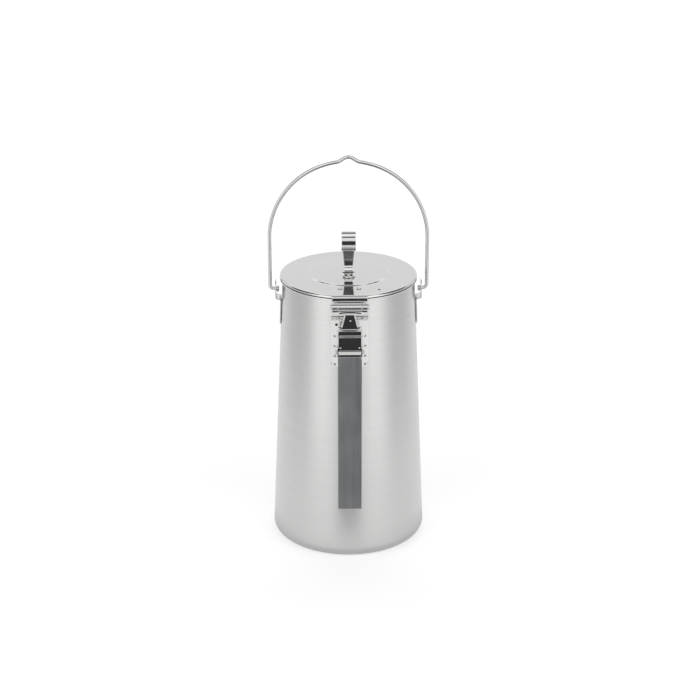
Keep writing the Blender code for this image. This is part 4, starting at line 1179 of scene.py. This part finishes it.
def addFloor():
    # a wide floor for the camera, and a disc near the kettle, with painted shade, that only mirrors see
    half, z = stage["floorSize"] / 2, stage["floorZ"]
    square = [(-half, -half, z), (half, -half, z), (half, half, z), (-half, half, z)]
    wide = stageObject("floor", square, [(0, 1, 2, 3)], floorMaterial("palePaper", 0.0, 0.0))
    hideFrom(wide, "glossy")
    cos, sin = circle(stage["nearSides"])
    y = stage["nearShift"] + stage["nearRadius"] * sin
    disc = np.stack([stage["nearRadius"] * cos, y, np.full(len(y), z)], axis=1)
    nearPaper = floorMaterial("nearPaper", stage["shadeDepth"], stage["ringDepth"])
    near = stageObject("nearFloor", disc.tolist(), [list(range(len(y)))], nearPaper)
    hideFrom(near, "camera", "diffuse", "shadow")


def addBackdrop():
    # a dome that only the camera sees
    rise = np.radians(np.linspace(*stage["domeRise"], stage["domeRows"]))
    profile = np.stack([np.cos(rise), np.sin(rise)], axis=1) * stage["domeRadius"]
    points = turnedGrid(profile, stage["domeColumns"]).reshape(-1, 3)
    faces = gridFaces(stage["domeRows"], stage["domeColumns"], closeColumns=True)
    dome = stageObject("backdrop", points.tolist(), faces.tolist(), backdropMaterial())
    hideFrom(dome, "diffuse", "glossy", "transmission", "shadow", "volume_scatter")


addFloor()
addBackdrop()

studio = {
    # brightness by angle from the front, in degrees, the same on both sides, and how much it
    # grows between these two rises
    "round": ((0, 1.25), (28, 1.3), (38, 1.5), (52, 1.45), (66, 1.1), (84, 0.85), (108, 0.85),
              (134, 1.08), (160, 1.12), (180, 1.1)),
    "highRise": (26.0, 38.0), "highMore": 0.2,
    # the table's dark end: its half width and its rise, where it fades, and its brightness
    "frontWidth": (19.0, 11.0), "frontRise": (-6.0, -10.0), "frontLevel": 0.055,
    # round dark places, with the turn and rise of the centre, where they fade and how bright they
    # are: the gap overhead, high up at both sides, and behind the camera
    "places": (
        (0.0, 80.0, (17.0, 30.0), 0.3), (105.0, 45.0, (17.0, 24.5), 0.08), (0.0, 19.0, (3.6, 7.5), 0.06),
    ),
}


def studioWorld():
    # Brightness depends on the direction only: a curve over the angle from the front, lifted
    # towards the top, then mixed to each dark place's level by its mask. A round place's mask is
    # a smooth step of the cosine between the direction and the place's centre.
    world = bpy.data.worlds.new("studio")
    bpy.context.scene.world = world
    world.use_nodes = True
    tree = world.node_tree
    tree.nodes.clear()
    coords = outputOf(tree, "TexCoord", {}, "Generated")
    parts = addNode(tree, "SeparateXYZ", {0: coords}).outputs
    front = maths(tree, "MULTIPLY", parts["Y"], -1.0)
    side = maths(tree, "ABSOLUTE", parts["X"])
    turn = maths(tree, "ARCTAN2", side, front)
    share = maths(tree, "DIVIDE", turn, math.pi)
    ramp = addNode(tree, "FloatCurve", {"Value": share})
    curve = ramp.mapping.curves[0]
    highest = max(value for _, value in studio["round"])
    curve.points[0].location = (0.0, studio["round"][0][1] / highest)
    curve.points[1].location = (1.0, studio["round"][-1][1] / highest)
    for degrees, value in studio["round"][1:-1]:
        curve.points.new(degrees / 180.0, value / highest)
    ramp.mapping.update()
    high = ranged(tree, parts["Z"], *np.sin(np.radians(studio["highRise"])))
    lift = maths(tree, "MULTIPLY_ADD", high, studio["highMore"] * highest, highest)
    light = maths(tree, "MULTIPLY", ramp.outputs[0], lift)

    near = ranged(tree, turn, *np.radians(studio["frontWidth"]))
    below = ranged(tree, parts["Z"], *np.sin(np.radians(studio["frontRise"])))
    dark = [(maths(tree, "MULTIPLY", near, below), studio["frontLevel"])]
    folded = outputOf(tree, "CombineXYZ", {"X": side, "Y": parts["Y"], "Z": parts["Z"]})
    for around, rise, fade, level in studio["places"]:
        around, rise = math.radians(around), math.radians(rise)
        centre = (math.sin(around) * math.cos(rise), -math.cos(around) * math.cos(rise), math.sin(rise))
        cosine = outputOf(
            tree, "VectorMath", {0: folded, 1: centre}, "Value", operation="DOT_PRODUCT")
        dark.append((ranged(tree, cosine, *np.cos(np.radians(fade[::-1]))), level))
    for mask, level in dark:
        inputs = {"Factor": mask, "A": light, "B": level}
        light = outputOf(tree, "Mix", inputs, data_type="FLOAT")
    back = addNode(tree, "Background", {"Strength": light})
    addNode(tree, "OutputWorld", {0: back.outputs[0]})


studioWorld()

cameraPlace = {
    "aim": (0.0, 0.0, 155.1 * mm), "rise": 21.72, "turn": -1.1, "distance": 1630.2 * mm,
    "lens": 104.8, "sensor": 36.0, "shiftX": 0.00226, "farthest": 60.0,
}


def addCamera():
    c = cameraPlace
    rise, turn = math.radians(c["rise"]), math.radians(c["turn"])
    data = bpy.data.cameras.new("photoCamera")
    data.lens = c["lens"]
    data.sensor_width = c["sensor"]
    data.shift_x = c["shiftX"]
    data.clip_end = c["farthest"]
    camera = bpy.data.objects.new("photoCamera", data)
    level = c["distance"] * math.cos(rise)
    camera.location = (
        c["aim"][0] + level * math.sin(turn), c["aim"][1] - level * math.cos(turn),
        c["aim"][2] + c["distance"] * math.sin(rise),
    )
    camera.rotation_euler = (math.pi / 2 - rise, 0.0, turn)
    bpy.context.scene.collection.objects.link(camera)
    bpy.context.scene.camera = camera


addCamera()
bpy.context.scene.view_settings.view_transform = "Standard"
